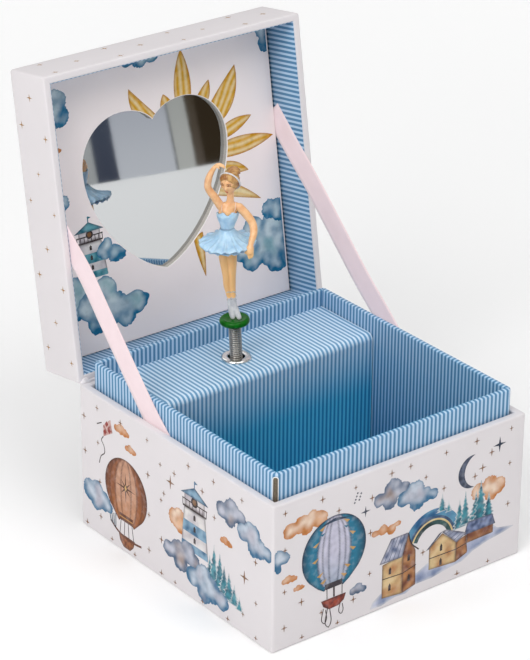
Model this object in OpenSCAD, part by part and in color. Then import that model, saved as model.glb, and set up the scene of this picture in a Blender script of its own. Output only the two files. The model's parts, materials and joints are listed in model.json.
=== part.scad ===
// Wind up music box with a folding ballerina, opened.
// Origin at the centre of the underside, +X to the right along the front, +Y to the back, +Z up.
// Lengths in mm.

/* [Case] */
// Width of the closed box, left to right
case_w = 110; // [96:1:140]
// Depth of the box, front to back
case_d = 110; // [104:1:140]
// Height of the case to its rim, without the neck
case_h = 55.3; // [54:0.1:75]
// Greyboard thickness of the case walls and floor
board_t = 2.5; // [2:0.1:3]
// Gap between the case wall and the neck strip, where the ribbons run
neck_gap = 0.6; // [0.4:0.1:1.2]
// Height of the neck strip above the rim
neck_rise = 9.2; // [6:0.1:10]
// Core thickness of the neck strip
neck_core = 1.6; // [1:0.1:2]

/* [Lid] */
// Outer depth of the lid
lid_h = 21.2; // [21:0.1:28]
// Rest angle of the open lid from closed
lid_open = 99; // [91:1:110]
// Thickness of the heart panel
panel_t = 2; // [1:0.1:2.5]
// Width of the heart cut-out
heart_w = 63; // [40:1:70]
// Ribbon width
ribbon_w = 10; // [10:0.5:12]

/* [Platform and figure] */
// How far the platform lies below the top of the neck
plat_drop = 6.5; // [5.5:0.1:7]
// Depth of the platform from the back of the neck to its front face
plat_depth = 29.5; // [28:0.1:34]
// Spring length between the eyelet and the stand
spring_len = 15; // [13:0.1:16]
// Outer diameter of the figure spring
spring_d = 4.15; // [3.8:0.05:4.6]
// Radius of the tutu
tutu_r = 9.4; // [7:0.1:9.6]

/* [Movement] */
// Gear module
gear_m = 0.4; // [0.36:0.01:0.42]
// Teeth on the great wheel
great_teeth = 50; // [46:4:54]
// Radius of the pinned cylinder to the pin tips
cyl_r = 6.5; // [6:0.1:6.8]
// Number of notes
notes = 18; // [12:1:18]

/* [Hidden] */
$fn = 48;

e = 0.01;
wrap_t = 0.2;
corner_r = 1.0;
hx = case_w / 2;
hy = case_d / 2;

// case heights
sheet_t = 0.3;
floor_z = sheet_t + wrap_t;
inside_z = floor_z + board_t;
neck_top = case_h + neck_rise;
plat_z = neck_top - plat_drop;
plat_t = 2;

// neck half sizes
neck_inset = board_t + 2 * wrap_t + neck_gap;
nx = hx - neck_inset;
ny = hy - neck_inset;
neck_t = neck_core + 2 * wrap_t;
neck_r = 1.8;
back_in = ny - neck_t;
side_in = nx - neck_t;

// movement axis and the figure's axis
mx = -1.8;
mz = 30;
sy = back_in - 15.2;
great_r = gear_m * great_teeth / 2;
pin_teeth = 12;
pin_r = gear_m * pin_teeth / 2;
spin_teeth = 16;
spin_r = gear_m * spin_teeth / 2;
mesh_y = sy + spin_r;
cy = mesh_y - pin_r;
bed_t = 2.2;
bed_y = back_in - bed_t;
house_r = great_r + 2.5;
house_y = mesh_y + 2.7;
arbor_r = 1.5;
run = 0.05;

// cylinder, comb and governor
cyl_x = mx + great_r + 5;
note_pitch = 1.0;
cyl_len = notes * note_pitch + 0.6;
gear_x = cyl_x + cyl_len + 0.6;
gear_teeth = 40;
gear_r = gear_m * gear_teeth / 2;
gov_teeth = 14;
gov_r = gear_m * gov_teeth / 2;
gov_z = mz - gear_r - gov_r;
brl_x = mx + great_r + 2.7;
brr_x = gear_x + 2.6;
comb_z = mz + 15;
worm_m = 0.6;
wheel_teeth = 12;
wheel_r = worm_m * wheel_teeth / 2;
wheel_x = cyl_x + 8.8;
worm_r = 1.8;
worm_z = gov_z - wheel_r - worm_r;
fly_y = mesh_y - 14.5;

// figure, measured along its own axis from the eyelet
foot_z = plat_z - 1;
lean_x = -1.5;
lean_y = -1.9;
stand_t = 1.6;
face_turn = -38;

// lid
lid_gap = 0.15;
lid_wall = board_t + 0.4;
lid_top_t = 2;
panel_v = lid_h - wrap_t - lid_top_t - 0.8 - panel_t;
line_in = lid_wall;
heart_x = -1.8;
heart_u = 26;
ribbon_u = 72;

module rounded(w, d, r) {
    square([w - 2 * r, d], center = true);
    square([w, d - 2 * r], center = true);
    for (sx = [-1, 1], sd = [-1, 1])
        translate([sx * (w / 2 - r), sd * (d / 2 - r)]) circle(r);
}

module ring2(w, d, r, t) {
    difference() {
        rounded(w, d, r);
        rounded(w - 2 * t, d - 2 * t, max(0.3, r - t));
    }
}

// a cylinder along +Y from y
module rod_y(x, y, z, r, h) translate([x, y, z]) rotate([-90, 0, 0]) cylinder(r = r, h = h);
// a cylinder along +X from x
module rod_x(x, y, z, r, h) translate([x, y, z]) rotate([0, 90, 0]) cylinder(r = r, h = h);

// spur gear outline, tooth 0 at angle a0
function tooth(n, ro, rt, i, a0) = let (p = 360 / n, a = a0 + i * p) [
    ro * [cos(a - 0.27 * p), sin(a - 0.27 * p)],
    rt * [cos(a - 0.11 * p), sin(a - 0.11 * p)],
    rt * [cos(a + 0.11 * p), sin(a + 0.11 * p)],
    ro * [cos(a + 0.27 * p), sin(a + 0.27 * p)]];
function gear_points(n, ro, rt, a0) = [for (i = [0:n - 1]) each tooth(n, ro, rt, i, a0)];

module gear2(n, m, a0, bore) {
    difference() {
        polygon(gear_points(n, m * n / 2 - 1.1 * m, m * n / 2 + 0.75 * m, a0));
        circle(bore);
    }
}

// screw along +Y: head at y, shank behind it
module screw_y(x, y, z, r, l, hr, hh) {
    difference() {
        rod_y(x, y, z, hr, hh);
        translate([x - hr, y - e, z - 0.25]) cube([2 * hr, 0.4, 0.5]);
    }
    rod_y(x, y + hh - e, z, r, l + e);
}

case_screw_at = [[mx - 13.5, mz - 18], [mx - 13.5, mz + 20], [brr_x - 1.5, mz - 18], [brr_x - 1.5, mz + 20]];

module screw_holes(y, l, r) for (p = case_screw_at) rod_y(p[0], y, p[1], r, l);

// ---------------------------------------------------------------- case

module base_sheet() color("gainsboro") {
    translate([-hx + 2, -hy + 2, 0]) cube([case_w - 4, case_d - 4, sheet_t]);
    translate([-hx + 12, -hy + 12, sheet_t - e]) cube([case_w - 24, case_d - 24, wrap_t + e]);
}

module case_board() color("tan") difference() {
    translate([0, 0, floor_z]) linear_extrude(case_h - wrap_t - floor_z)
        rounded(case_w - 2 * wrap_t, case_d - 2 * wrap_t, corner_r - wrap_t);
    translate([0, 0, inside_z]) linear_extrude(case_h)
        rounded(case_w - 2 * (wrap_t + board_t), case_d - 2 * (wrap_t + board_t), 0.4);
    rod_y(mx, hy - 6, mz, 3.4, 8);
    screw_holes(hy - 6, 8, 1.25);
}

module case_wrap() color("whitesmoke") difference() {
    union() {
        translate([0, 0, sheet_t]) linear_extrude(case_h - sheet_t)
            ring2(case_w, case_d, corner_r, wrap_t);
        translate([0, 0, sheet_t]) linear_extrude(wrap_t) ring2(case_w, case_d, corner_r, 12);
        translate([0, 0, case_h - wrap_t]) linear_extrude(wrap_t)
            ring2(case_w, case_d, corner_r, board_t + 2 * wrap_t);
        translate([0, 0, case_h - 12]) linear_extrude(12)
            ring2(case_w - 2 * (wrap_t + board_t), case_d - 2 * (wrap_t + board_t), 0.4, wrap_t);
    }
    rod_y(mx, hy - 6, mz, 3.4, 8);
    screw_holes(hy - 6, 8, 1.25);
}

// the neck's two ends leave a slit at the front left corner
module corner_slit(deep) translate([-nx, -ny, 0]) rotate(45) translate([-3, -0.75])
    square([3 + deep, 1.5]);

module neck_board() color("peru") difference() {
    translate([0, 0, inside_z]) linear_extrude(neck_top - wrap_t - inside_z) difference() {
        ring2(2 * (nx - wrap_t), 2 * (ny - wrap_t), neck_r - wrap_t, neck_core);
        corner_slit(1.9);
    }
    rod_y(mx, back_in - 1, mz, 3.0, neck_t + 2);
    screw_holes(back_in - 1, neck_t + 2, 1.25);
}

module neck_paper() color("lightskyblue") difference() {
    union() {
        translate([0, 0, inside_z]) linear_extrude(neck_top - inside_z) difference() {
            ring2(2 * nx, 2 * ny, neck_r, wrap_t);
            corner_slit(1.9);
        }
        translate([0, 0, inside_z]) linear_extrude(neck_top - inside_z)
            ring2(2 * (side_in + wrap_t), 2 * (back_in + wrap_t), 0.4, wrap_t);
        translate([0, 0, neck_top - wrap_t]) linear_extrude(wrap_t) difference() {
            ring2(2 * nx, 2 * ny, neck_r, neck_t);
            corner_slit(1.9);
        }
    }
    rod_y(mx, back_in - 1, mz, 3.0, neck_t + 2);
    screw_holes(back_in - 1, neck_t + 2, 1.25);
}

module floor_paper() color("steelblue") translate([-side_in, -back_in, inside_z])
    cube([2 * side_in, 2 * back_in, wrap_t]);

plat_r = 2.5;
module cover_outline() {
    translate([plat_r, plat_z - plat_t]) square([plat_depth - plat_r, plat_t]);
    translate([0, inside_z + wrap_t]) square([plat_t, plat_z - plat_r - inside_z - wrap_t]);
    intersection() {
        translate([plat_r, plat_z - plat_r]) difference() {
            circle(plat_r);
            circle(plat_r - plat_t);
        }
        translate([0, plat_z - plat_r]) square(plat_r);
    }
}

module movement_cover() color("lightblue") difference() {
    translate([-side_in, back_in - plat_depth, 0]) rotate([90, 0, 90])
        linear_extrude(2 * side_in - 0.4) cover_outline();
    translate([mx, sy, plat_z - 5]) cylinder(r = 3.8, h = 10);
}

module spindle_eyelet() color("silver") translate([mx, sy, 0]) rotate_extrude() {
    translate([3.0, plat_z - 2.6]) square([0.8, 3.1]);
    translate([3.5, plat_z]) square([1.6, 0.8]);
    translate([5.1, plat_z + 0.4]) circle(0.4);
    translate([3.5, plat_z + 0.5]) circle(0.5);
    translate([3.3, plat_z - plat_t - 0.6]) square([1.4, 0.6]);
}

module key_bush() color("silver") difference() {
    union() {
        rod_y(mx, hy, mz, 5, 0.7);
        rod_y(mx, hy - wrap_t - board_t, mz, 3.4, wrap_t + board_t + e);
    }
    rod_y(mx, hy - 5, mz, 2.1, 8);
}

module case_screws() color("silver") for (p = case_screw_at)
    translate([p[0], hy, p[1]]) rotate([0, 0, 180]) screw_y(0, -0.9, 0, 1.2, hy - bed_y - 0.4, 2.4, 0.9);

// ---------------------------------------------------------------- movement, fixed parts

module bedplate() color("darkgray") difference() {
    union() {
        translate([mx - 17, bed_y, mz - 23]) cube([brr_x + 3 - mx + 17, bed_t, 47]);
        translate([cyl_x, cy + 0.5, comb_z + 0.2]) cube([cyl_len, bed_y - cy - 0.5 + e, 7.6]);
    }
    rod_y(mx, bed_y - 1, mz, arbor_r + run, bed_t + 2);
    screw_holes(bed_y + 0.4, bed_t, 1.2);
    for (k = [0.22, 0.78]) rod_y(cyl_x + k * cyl_len, cy - 1, comb_z + 4, 1.0, 7);
    rod_y(wheel_x + 0.6, bed_y - 1, worm_z, 0.5 + run, bed_t + 0.6);
    for (p = foot_at) rod_y(p[0], bed_y - 1, p[1], 0.8, 2.6);
}

module spring_housing() color("gainsboro") difference() {
    rod_y(mx, house_y, mz, house_r, bed_y - house_y);
    rod_y(mx, house_y + 0.8, mz, house_r - 0.8, bed_y - house_y);
    rod_y(mx, house_y - 1, mz, arbor_r + run, 4);
}

// spiral strip, wound round the arbor
spring_turns = 9;
function spiral(a, off) = let (r = arbor_r + 0.75 + off + (house_r - 1.2 - arbor_r - 0.75) * a
    / (360 * spring_turns)) r * [cos(a), sin(a)];
module mainspring() color("slategray") translate([mx, house_y + 1.1, mz]) rotate([-90, 0, 0])
    linear_extrude(bed_y - house_y - 1.5) polygon(concat(
        [for (a = [0:15:360 * spring_turns]) spiral(a, 0.12)],
        [for (a = [360 * spring_turns:-15:0]) spiral(a, -0.12)]));

module comb() color("lightsteelblue") difference() {
    union() {
        translate([cyl_x, cy - 0.5, comb_z]) cube([cyl_len, 1, 7.8]);
        for (i = [0:notes - 1]) translate([cyl_x + 0.8 - 0.33 + i * note_pitch, cy - 0.25, mz + cyl_r + 0.15])
            cube([0.66, 0.5, comb_z - mz - cyl_r]);
    }
    for (k = [0.22, 0.78]) rod_y(cyl_x + k * cyl_len, cy - 2, comb_z + 4, 1.0, 4);
}

module comb_screws() color("silver") for (k = [0.22, 0.78])
    screw_y(cyl_x + k * cyl_len, cy - 1.7, comb_z + 4, 1.0, 6.2, 2.0, 1.2);

// bracket feet on the bedplate, one screw each
foot_at = [[brl_x + 4.2, mz + 7], [brr_x - 1.9, mz + 8], [wheel_x - 3.6 - 2.0, gov_z + 3.4],
    [wheel_x + 8.4, worm_z - 4.2], [mx, mz + 17.5]];
foot_t = 1.2;

module cylinder_bracket_left() color("silver") difference() {
    union() {
        translate([brl_x, cy - 2.5, mz - 3]) cube([1.2, bed_y - cy + 2.5, 6]);
        translate([brl_x, bed_y - foot_t, mz + 3 - e]) cube([1.2, foot_t, 6.5]);
        translate([brl_x, bed_y - foot_t, mz + 4.5]) cube([6.4, foot_t, 5]);
    }
    rod_x(brl_x - 1, cy, mz, 1 + run, 4);
    rod_y(foot_at[0][0], bed_y - 3, foot_at[0][1], 0.8, 6);
}

module cylinder_bracket_right() color("silver") difference() {
    union() {
        translate([brr_x, cy - 2.5, gov_z - 2.5]) cube([1.2, bed_y - cy + 2.5, mz - gov_z + 5.5]);
        translate([brr_x, bed_y - foot_t, mz + 3 - e]) cube([1.2, foot_t, 7]);
        translate([brr_x - 4, bed_y - foot_t, mz + 5.5]) cube([4 + e, foot_t, 4.5]);
    }
    rod_x(brr_x - 1, cy, mz, 1 + run, 4);
    rod_x(brr_x - 1, cy, gov_z, 0.8 + run, 4);
    rod_y(foot_at[1][0], bed_y - 3, foot_at[1][1], 0.8, 6);
}

module governor_bracket() color("silver") difference() {
    union() {
        translate([wheel_x - 3.6, cy - 2, gov_z - 1.8]) cube([1, bed_y - cy + 2, 3.8]);
        translate([wheel_x - 3.6 - 4, bed_y - foot_t, gov_z + 1.6]) cube([5, foot_t, 3.8]);
    }
    rod_x(wheel_x - 5, cy, gov_z, 0.8 + run, 4);
    rod_y(foot_at[2][0], bed_y - 3, foot_at[2][1], 0.8, 6);
}

module fly_bracket() color("silver") difference() {
    union() {
        translate([wheel_x - 5, fly_y + 5, worm_z - 2.5]) cube([11.2, 1, 5]);
        translate([wheel_x - 5, fly_y + 5, worm_z - 2.5]) cube([1.2, bed_y - fly_y - 5, 5]);
        translate([wheel_x + 5, fly_y + 5, worm_z - 2.5]) cube([1.2, bed_y - fly_y - 5, 5]);
        translate([wheel_x + 5, bed_y - foot_t, worm_z - 6.2]) cube([5.4, foot_t, 4]);
        translate([wheel_x + 5, bed_y - foot_t, worm_z - 6.2]) cube([1.2, foot_t, 6]);
    }
    rod_y(wheel_x + 0.6, fly_y, worm_z, 0.5 + run, 9);
    rod_y(foot_at[3][0], bed_y - 3, foot_at[3][1], 0.8, 6);
}

strap_z = mz + great_r + 3;
strap_y = mesh_y - 9;
module spindle_bracket() color("silver") difference() {
    union() {
        translate([mx - 4, strap_y, strap_z]) cube([8, bed_y - strap_y, 1.2]);
        translate([mx - 4, strap_y, mz + great_r - 3.2]) cube([8, 1.2, strap_z - mz - great_r + 3.2 + e]);
        translate([mx - 4, strap_y, mz + great_r - 3.2]) cube([8, mesh_y - 1.2 - strap_y, 1.2]);
        translate([mx - 4, bed_y - foot_t, strap_z]) cube([8, foot_t, 6.5]);
    }
    translate([mx, sy, mz]) cylinder(r = 0.9 + run, h = 30);
    rod_y(foot_at[4][0], bed_y - 3, foot_at[4][1], 0.8, 6);
}

module bracket_screws() color("silver") for (p = foot_at)
    screw_y(p[0], bed_y - foot_t - 0.8, p[1], 0.8, foot_t + 1.5, 1.5, 0.8);

// ---------------------------------------------------------------- great wheel and arbor

wheel_face = mesh_y + 0.45;
module great_wheel() color("goldenrod") difference() {
    union() {
        rod_y(mx, wheel_face, mz, great_r + 1, 1.3);
        translate([mx, wheel_face + e, mz]) rotate([90, 0, 0]) linear_extrude(0.75 + e)
            difference() {
                polygon([for (i = [0:great_teeth - 1]) each
                    let (p = 360 / great_teeth, a = 90 + (i + 0.5) * p) [
                        (great_r - 1.1) * [cos(a - 0.25 * p), sin(a - 0.25 * p)],
                        (great_r - 1.1) * [cos(a - 0.18 * p), sin(a - 0.18 * p)],
                        (great_r + 0.95) * [cos(a - 0.18 * p), sin(a - 0.18 * p)],
                        (great_r + 0.95) * [cos(a + 0.18 * p), sin(a + 0.18 * p)],
                        (great_r - 1.1) * [cos(a + 0.18 * p), sin(a + 0.18 * p)],
                        (great_r - 1.1) * [cos(a + 0.25 * p), sin(a + 0.25 * p)]]]);
                circle(great_r - 1.9);
            }
    }
    rod_y(mx, mesh_y - 2, mz, arbor_r + run, 6);
    rod_y(mx + 5.6, mesh_y - 2, mz - 2.4, 0.6, 6);
}

click_y = mesh_y - 0.9;
module click() color("silver") difference() {
    translate([mx, click_y + 1.15, mz]) rotate([90, 0, 0]) linear_extrude(1.15) union() {
        translate([5.6, -2.4]) circle(1.3);
        polygon([[4.5, -1.7], [6.7, -1.7], [4.6, 2.2], [3.62, 0.7]]);
    }
    rod_y(mx + 5.6, click_y - 1, mz - 2.4, 0.6, 4);
}

module click_pin() color("gray") {
    rod_y(mx + 5.6, click_y - 0.4, mz - 2.4, 1.0, 0.4);
    rod_y(mx + 5.6, click_y - e, mz - 2.4, 0.6, 2.4);
}

module winding_arbor() color("gray") {
    rod_y(mx, mesh_y - 1.8, mz, arbor_r, hy + 9 - mesh_y + 1.8);
    rod_y(mx, house_y + 1.0, mz, arbor_r + 0.4, bed_y - house_y - 1.2);
}

module arbor_clip() color("silver") difference() {
    rod_y(mx, click_y - 0.6, mz, 2.5, 0.5);
    rod_y(mx, click_y - 2, mz, arbor_r, 4);
}

module ratchet_wheel() color("goldenrod") difference() {
    translate([mx, click_y + 1.15, mz]) rotate([90, 0, 0]) linear_extrude(1.15)
        polygon([for (i = [0:11]) each [2.8 * [cos(30 * i), sin(30 * i)],
            3.5 * [cos(30 * i + 27), sin(30 * i + 27)]]]);
    rod_y(mx, click_y - 1, mz, arbor_r, 4);
}

module winding_key() color("silver") difference() {
    union() {
        rod_y(mx, hy + 1.0, mz, 3, 9);
        translate([mx, hy, mz - 0.8]) linear_extrude(1.6) {
            translate([-5, 6]) square([10, 6]);
            for (s = [-1, 1]) translate([s * 6.4, 13]) circle(6);
        }
    }
    rod_y(mx, hy - 1, mz, arbor_r, 10);
    for (s = [-1, 1]) translate([mx + s * 6.6, hy + 13, mz - 2]) cylinder(r = 2.6, h = 4);
}

// ---------------------------------------------------------------- cylinder

module music_cylinder() color("gold") difference() {
    union() {
        rod_x(cyl_x, cy, mz, cyl_r - 0.7, cyl_len);
        for (i = [0:notes - 1], k = [0:1]) translate([cyl_x + 0.8 + i * note_pitch, cy, mz])
            rotate([(i * 137 + k * 151 + 40) % 360, 0, 0]) translate([0, 0, cyl_r - 1])
                cylinder(r = 0.2, h = 1, $fn = 16);
    }
    rod_x(cyl_x - 1, cy, mz, 1, cyl_len + 2);
}

module cylinder_shaft() color("gray") rod_x(mx + great_r - 1.8, cy, mz, 1, brr_x + 1.6 - mx - great_r + 1.8);

module cylinder_pinion() color("goldenrod") translate([mx + great_r - 0.9, cy, mz]) rotate([0, 90, 0])
    linear_extrude(1.8) gear2(pin_teeth, gear_m, 90 + 180 / pin_teeth, 1);

module cylinder_gear() color("goldenrod") translate([gear_x, cy, mz]) rotate([0, 90, 0])
    linear_extrude(1.2) gear2(gear_teeth, gear_m, 0, 1);

module governor_shaft() color("gray") rod_x(wheel_x - 4, cy, gov_z, 0.8, brr_x + 1.6 - wheel_x + 4);

module governor_pinion() color("silver") translate([gear_x - 0.2, cy, gov_z]) rotate([0, 90, 0])
    linear_extrude(1.6) gear2(gov_teeth, gear_m, 180 + 180 / gov_teeth, 0.8);

module worm_wheel() color("ivory") translate([wheel_x + 0.1, cy, gov_z]) rotate([0, 90, 0])
    linear_extrude(1.0) gear2(wheel_teeth, worm_m, 0, 0.8);

// two-start worm and its shaft
worm_len = 9;
worm_lead = 2 * PI * worm_m;
module worm() color("ivory") union() {
    rod_y(wheel_x + 0.6, fly_y - 0.5, worm_z, 0.5, bed_y + 1.4 - fly_y + 0.5);
    translate([wheel_x + 0.6, cy - worm_len / 2, worm_z]) rotate([-90, 0, 0])
        linear_extrude(worm_len, twist = -360 * worm_len / worm_lead, slices = 36)
        rotate(-180 * worm_len / worm_lead) polygon([for (i = [0:15]) let (a = i * 22.5,
            s = pow(abs(cos(a)), 5)) (1.2 + 1.0 * s) * [cos(a), sin(a)]]);
}

module fly() color("gray") {
    difference() {
        rod_y(wheel_x + 0.6, fly_y - 0.3, worm_z, 1.1, 4.6);
        rod_y(wheel_x + 0.6, fly_y - 1, worm_z, 0.5, 8);
    }
    for (s = [-1, 1]) translate([wheel_x + 0.6 + (s > 0 ? 1.0 : -4.4), fly_y, worm_z - 0.25])
        cube([3.4, 4, 0.5]);
}

// ---------------------------------------------------------------- spindle and figure

module figure_spindle() color("gray") translate([mx, sy, mz + great_r - 3.8])
    cylinder(r = 0.9, h = plat_z + 2 - mz - great_r + 3.8);

module spindle_pinion() color("goldenrod") translate([mx, sy, mz + great_r - 0.9])
    linear_extrude(1.8) gear2(spin_teeth, gear_m, 90, 0.9);

// places a child on the figure's leaning axis, z counted from the eyelet
module on_spring() translate([mx, sy, foot_z]) rotate([lean_x, lean_y, 0]) children();

coil_n = 24;
module figure_spring() color("dimgray") on_spring() rotate_extrude() polygon(concat(
    [[spring_d / 2 - 0.52, 0]],
    [for (i = [0:coil_n - 1], k = [0, 0.5]) [spring_d / 2 - (k == 0 ? 0.12 : 0), (i + k) * spring_len / coil_n]],
    [[spring_d / 2 - 0.12, spring_len], [spring_d / 2 - 0.52, spring_len]]));

module figure_stand() color("green") on_spring() translate([0, 0, spring_len + 0.05]) {
    translate([0, 0, -4]) cylinder(r = spring_d / 2 - 0.57, h = 4 + e);
    rotate_extrude() {
        square([4.3, stand_t]);
        translate([4.25, stand_t / 2]) circle(stand_t / 2);
    }
}

// rod with round ends between two points
module limb(a, b, ra, rb) {
    d = b - a;
    l = norm(d);
    translate(a) rotate([0, acos(d[2] / l), atan2(d[1], d[0])]) cylinder(r1 = ra, r2 = rb, h = l);
    translate(b) sphere(rb * 1.1);
}

module ballerina() color("lightsteelblue") on_spring() translate([0, 0, spring_len + 0.05 + stand_t])
    rotate(face_turn) union() {
        for (s = [-1, 1])
            translate([s * 0.95, 0, 0]) rotate_extrude() polygon([[0, 0], [1.0, 0], [1.35, 8], [2.2, 30.6],
                [0, 30.6]]);
        rotate_extrude() polygon([[0, 28.5], [tutu_r - 0.3, 28.2], [tutu_r, 28.8], [tutu_r - 0.2, 29.6],
            [3.2, 33.4], [2.6, 34.6], [3.0, 38.5], [3.3, 40.5], [3.0, 42.4], [1.4, 43.6], [1.1, 44.4],
            [1.1, 46.5], [0, 46.5]]);
        translate([0, 0, 49.6]) sphere(3.5);
        translate([0.6, 1.2, 54.4]) sphere(2.1);
        limb([-2.6, 0, 42.2], [-7.6, -0.6, 50.8], 1.1, 0.95);
        limb([-7.6, -0.6, 50.8], [-4.2, -1.2, 57.4], 0.95, 0.8);
        limb([-4.2, -1.2, 57.4], [-0.8, -1.6, 58.2], 0.8, 0.6);
        limb([2.6, 0, 42.2], [8.3, 0, 35.0], 1.1, 0.95);
        limb([8.3, 0, 35.0], [7.2, -2.4, 26.2], 0.95, 0.8);
        translate([7.0, -2.6, 25.2]) sphere(1.2);
    }

// ---------------------------------------------------------------- lid, drawn closed and turned open

module in_lid() translate([0, hy, case_h]) rotate([-lid_open, 0, 0]) translate([0, -hy, 0]) children();

module lid_board() color("tan") in_lid() difference() {
    translate([0, 0, lid_gap + wrap_t]) linear_extrude(lid_h - lid_gap - 2 * wrap_t)
        rounded(case_w - 2 * wrap_t, case_d - 2 * wrap_t, corner_r - wrap_t);
    translate([0, 0, -1]) linear_extrude(lid_h - wrap_t - lid_top_t + 1)
        rounded(case_w - 2 * (line_in - 2 * wrap_t), case_d - 2 * (line_in - 2 * wrap_t), 0.4);
}

module lid_wrap() color("whitesmoke") in_lid() union() {
    translate([0, 0, lid_gap]) linear_extrude(lid_h - lid_gap) ring2(case_w, case_d, corner_r, wrap_t);
    translate([0, 0, lid_h - wrap_t]) linear_extrude(wrap_t) rounded(case_w, case_d, corner_r);
    translate([0, 0, lid_gap]) linear_extrude(wrap_t) ring2(case_w, case_d, corner_r, line_in);
    translate([0, 0, lid_gap]) linear_extrude(12)
        ring2(case_w - 2 * (line_in - 2 * wrap_t), case_d - 2 * (line_in - 2 * wrap_t), 0.4, wrap_t);
}

module lid_lining() color("lightskyblue") in_lid() difference() {
    translate([0, 0, lid_gap + wrap_t]) linear_extrude(panel_v + panel_t - lid_gap - wrap_t)
        ring2(case_w - 2 * (line_in - wrap_t), case_d - 2 * (line_in - wrap_t), 0.3, wrap_t);
}

// heart outline with its tip at the origin, made of three curves a side
function curve(p, t) = pow(1 - t, 3) * p[0] + 3 * t * pow(1 - t, 2) * p[1]
    + 3 * t * t * (1 - t) * p[2] + pow(t, 3) * p[3];
heart_side = [
    [[0, 0], [12, 3], [31.5, 22], [31.5, 42]],
    [[31.5, 42], [31.5, 53], [23, 60.5], [13.5, 60.5]],
    [[13.5, 60.5], [7, 60.5], [2.5, 58], [0, 55]]];
heart_right = [for (c = heart_side, i = [0:11]) curve(c, i / 12)];
module heart2(w) scale(w / 63) polygon(concat(heart_right, [[0, 55]],
    [for (i = [len(heart_right) - 1:-1:1]) [-heart_right[i][0], heart_right[i][1]]]));

module mirror_sheet() color("silver") in_lid()
    translate([heart_x - 38, hy - heart_u - 68, panel_v + panel_t]) cube([76, 74, 0.8]);

module heart_panel() color("linen") in_lid() difference() {
    translate([-hx + line_in + 0.5, -hy + line_in + 0.2, panel_v])
        cube([case_w - 2 * line_in - 1, case_d - 2 * line_in - 0.4, panel_t]);
    translate([heart_x, hy - heart_u, panel_v - 1]) linear_extrude(panel_t + 2)
        mirror([0, 1, 0]) heart2(heart_w);
}

// ribbons run straight from the lid wall to the gap beside the neck
function lid_point(u, v) = [hy - u * cos(lid_open) + v * sin(lid_open),
    case_h + u * sin(lid_open) + v * cos(lid_open)];
module ribbon(x, yb) {
    a = lid_point(ribbon_u, panel_v + 1.2);
    b = [yb, case_h - 6];
    d = (a - b) / norm(a - b);
    n = [-d[1], d[0]];
    up = [-cos(lid_open), sin(lid_open)];
    cut = up * ribbon_w / 2 / (up * n);
    side = n * ribbon_w / 2;
    translate([x, 0, 0]) rotate([90, 0, 90]) linear_extrude(wrap_t)
        polygon([a + cut, b + side, b - side, a - cut]);
}
module ribbon_left() color("mistyrose") ribbon(-hx + line_in, 5);
module ribbon_right() color("mistyrose") ribbon(hx - line_in - wrap_t, -0.5);

base_sheet();
case_board();
case_wrap();
neck_board();
neck_paper();
floor_paper();
movement_cover();
spindle_eyelet();
key_bush();
case_screws();
bedplate();
spring_housing();
mainspring();
comb();
comb_screws();
cylinder_bracket_left();
cylinder_bracket_right();
governor_bracket();
fly_bracket();
spindle_bracket();
bracket_screws();
great_wheel();
click();
click_pin();
winding_arbor();
arbor_clip();
ratchet_wheel();
winding_key();
music_cylinder();
cylinder_shaft();
cylinder_pinion();
cylinder_gear();
governor_shaft();
governor_pinion();
worm_wheel();
worm();
fly();
figure_spindle();
spindle_pinion();
figure_spring();
figure_stand();
ballerina();
lid_board();
lid_wrap();
lid_lining();
mirror_sheet();
heart_panel();
ribbon_left();
ribbon_right();
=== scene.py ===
"""Looks of the wind up music box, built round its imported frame. Working lengths are mm."""
import json
from math import atan2, cos, degrees, exp, hypot, inf, pi, radians, sin, sqrt

import bmesh
import bpy
import numpy as np
from mathutils import Matrix, Vector, noise
from mathutils.geometry import delaunay_2d_cdt, tessellate_polygon


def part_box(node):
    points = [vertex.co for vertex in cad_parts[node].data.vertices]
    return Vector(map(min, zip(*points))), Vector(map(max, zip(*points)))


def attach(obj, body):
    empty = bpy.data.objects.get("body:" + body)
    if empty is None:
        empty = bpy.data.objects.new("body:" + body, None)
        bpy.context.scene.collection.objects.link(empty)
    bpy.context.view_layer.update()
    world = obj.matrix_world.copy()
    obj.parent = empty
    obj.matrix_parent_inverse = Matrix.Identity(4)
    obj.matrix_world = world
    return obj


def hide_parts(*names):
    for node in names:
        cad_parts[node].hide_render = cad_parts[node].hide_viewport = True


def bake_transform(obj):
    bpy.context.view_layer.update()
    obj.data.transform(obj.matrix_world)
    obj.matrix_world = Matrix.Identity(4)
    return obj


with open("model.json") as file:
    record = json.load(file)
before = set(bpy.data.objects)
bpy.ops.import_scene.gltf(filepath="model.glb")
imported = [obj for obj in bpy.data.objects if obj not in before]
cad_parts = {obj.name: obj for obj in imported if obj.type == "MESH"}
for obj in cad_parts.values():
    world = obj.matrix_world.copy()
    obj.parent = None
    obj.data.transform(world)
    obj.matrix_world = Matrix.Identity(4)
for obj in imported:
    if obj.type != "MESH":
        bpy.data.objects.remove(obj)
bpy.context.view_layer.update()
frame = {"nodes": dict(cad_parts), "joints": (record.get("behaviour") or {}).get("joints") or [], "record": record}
nodes = frame["nodes"]
joints = {j["name"]: j for j in frame["joints"]}
MM = 0.001


def extent(node):
    """Lowest and highest corner of a CAD node, in mm."""
    low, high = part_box(node)
    return np.array(low) * 1000, np.array(high) * 1000


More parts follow.
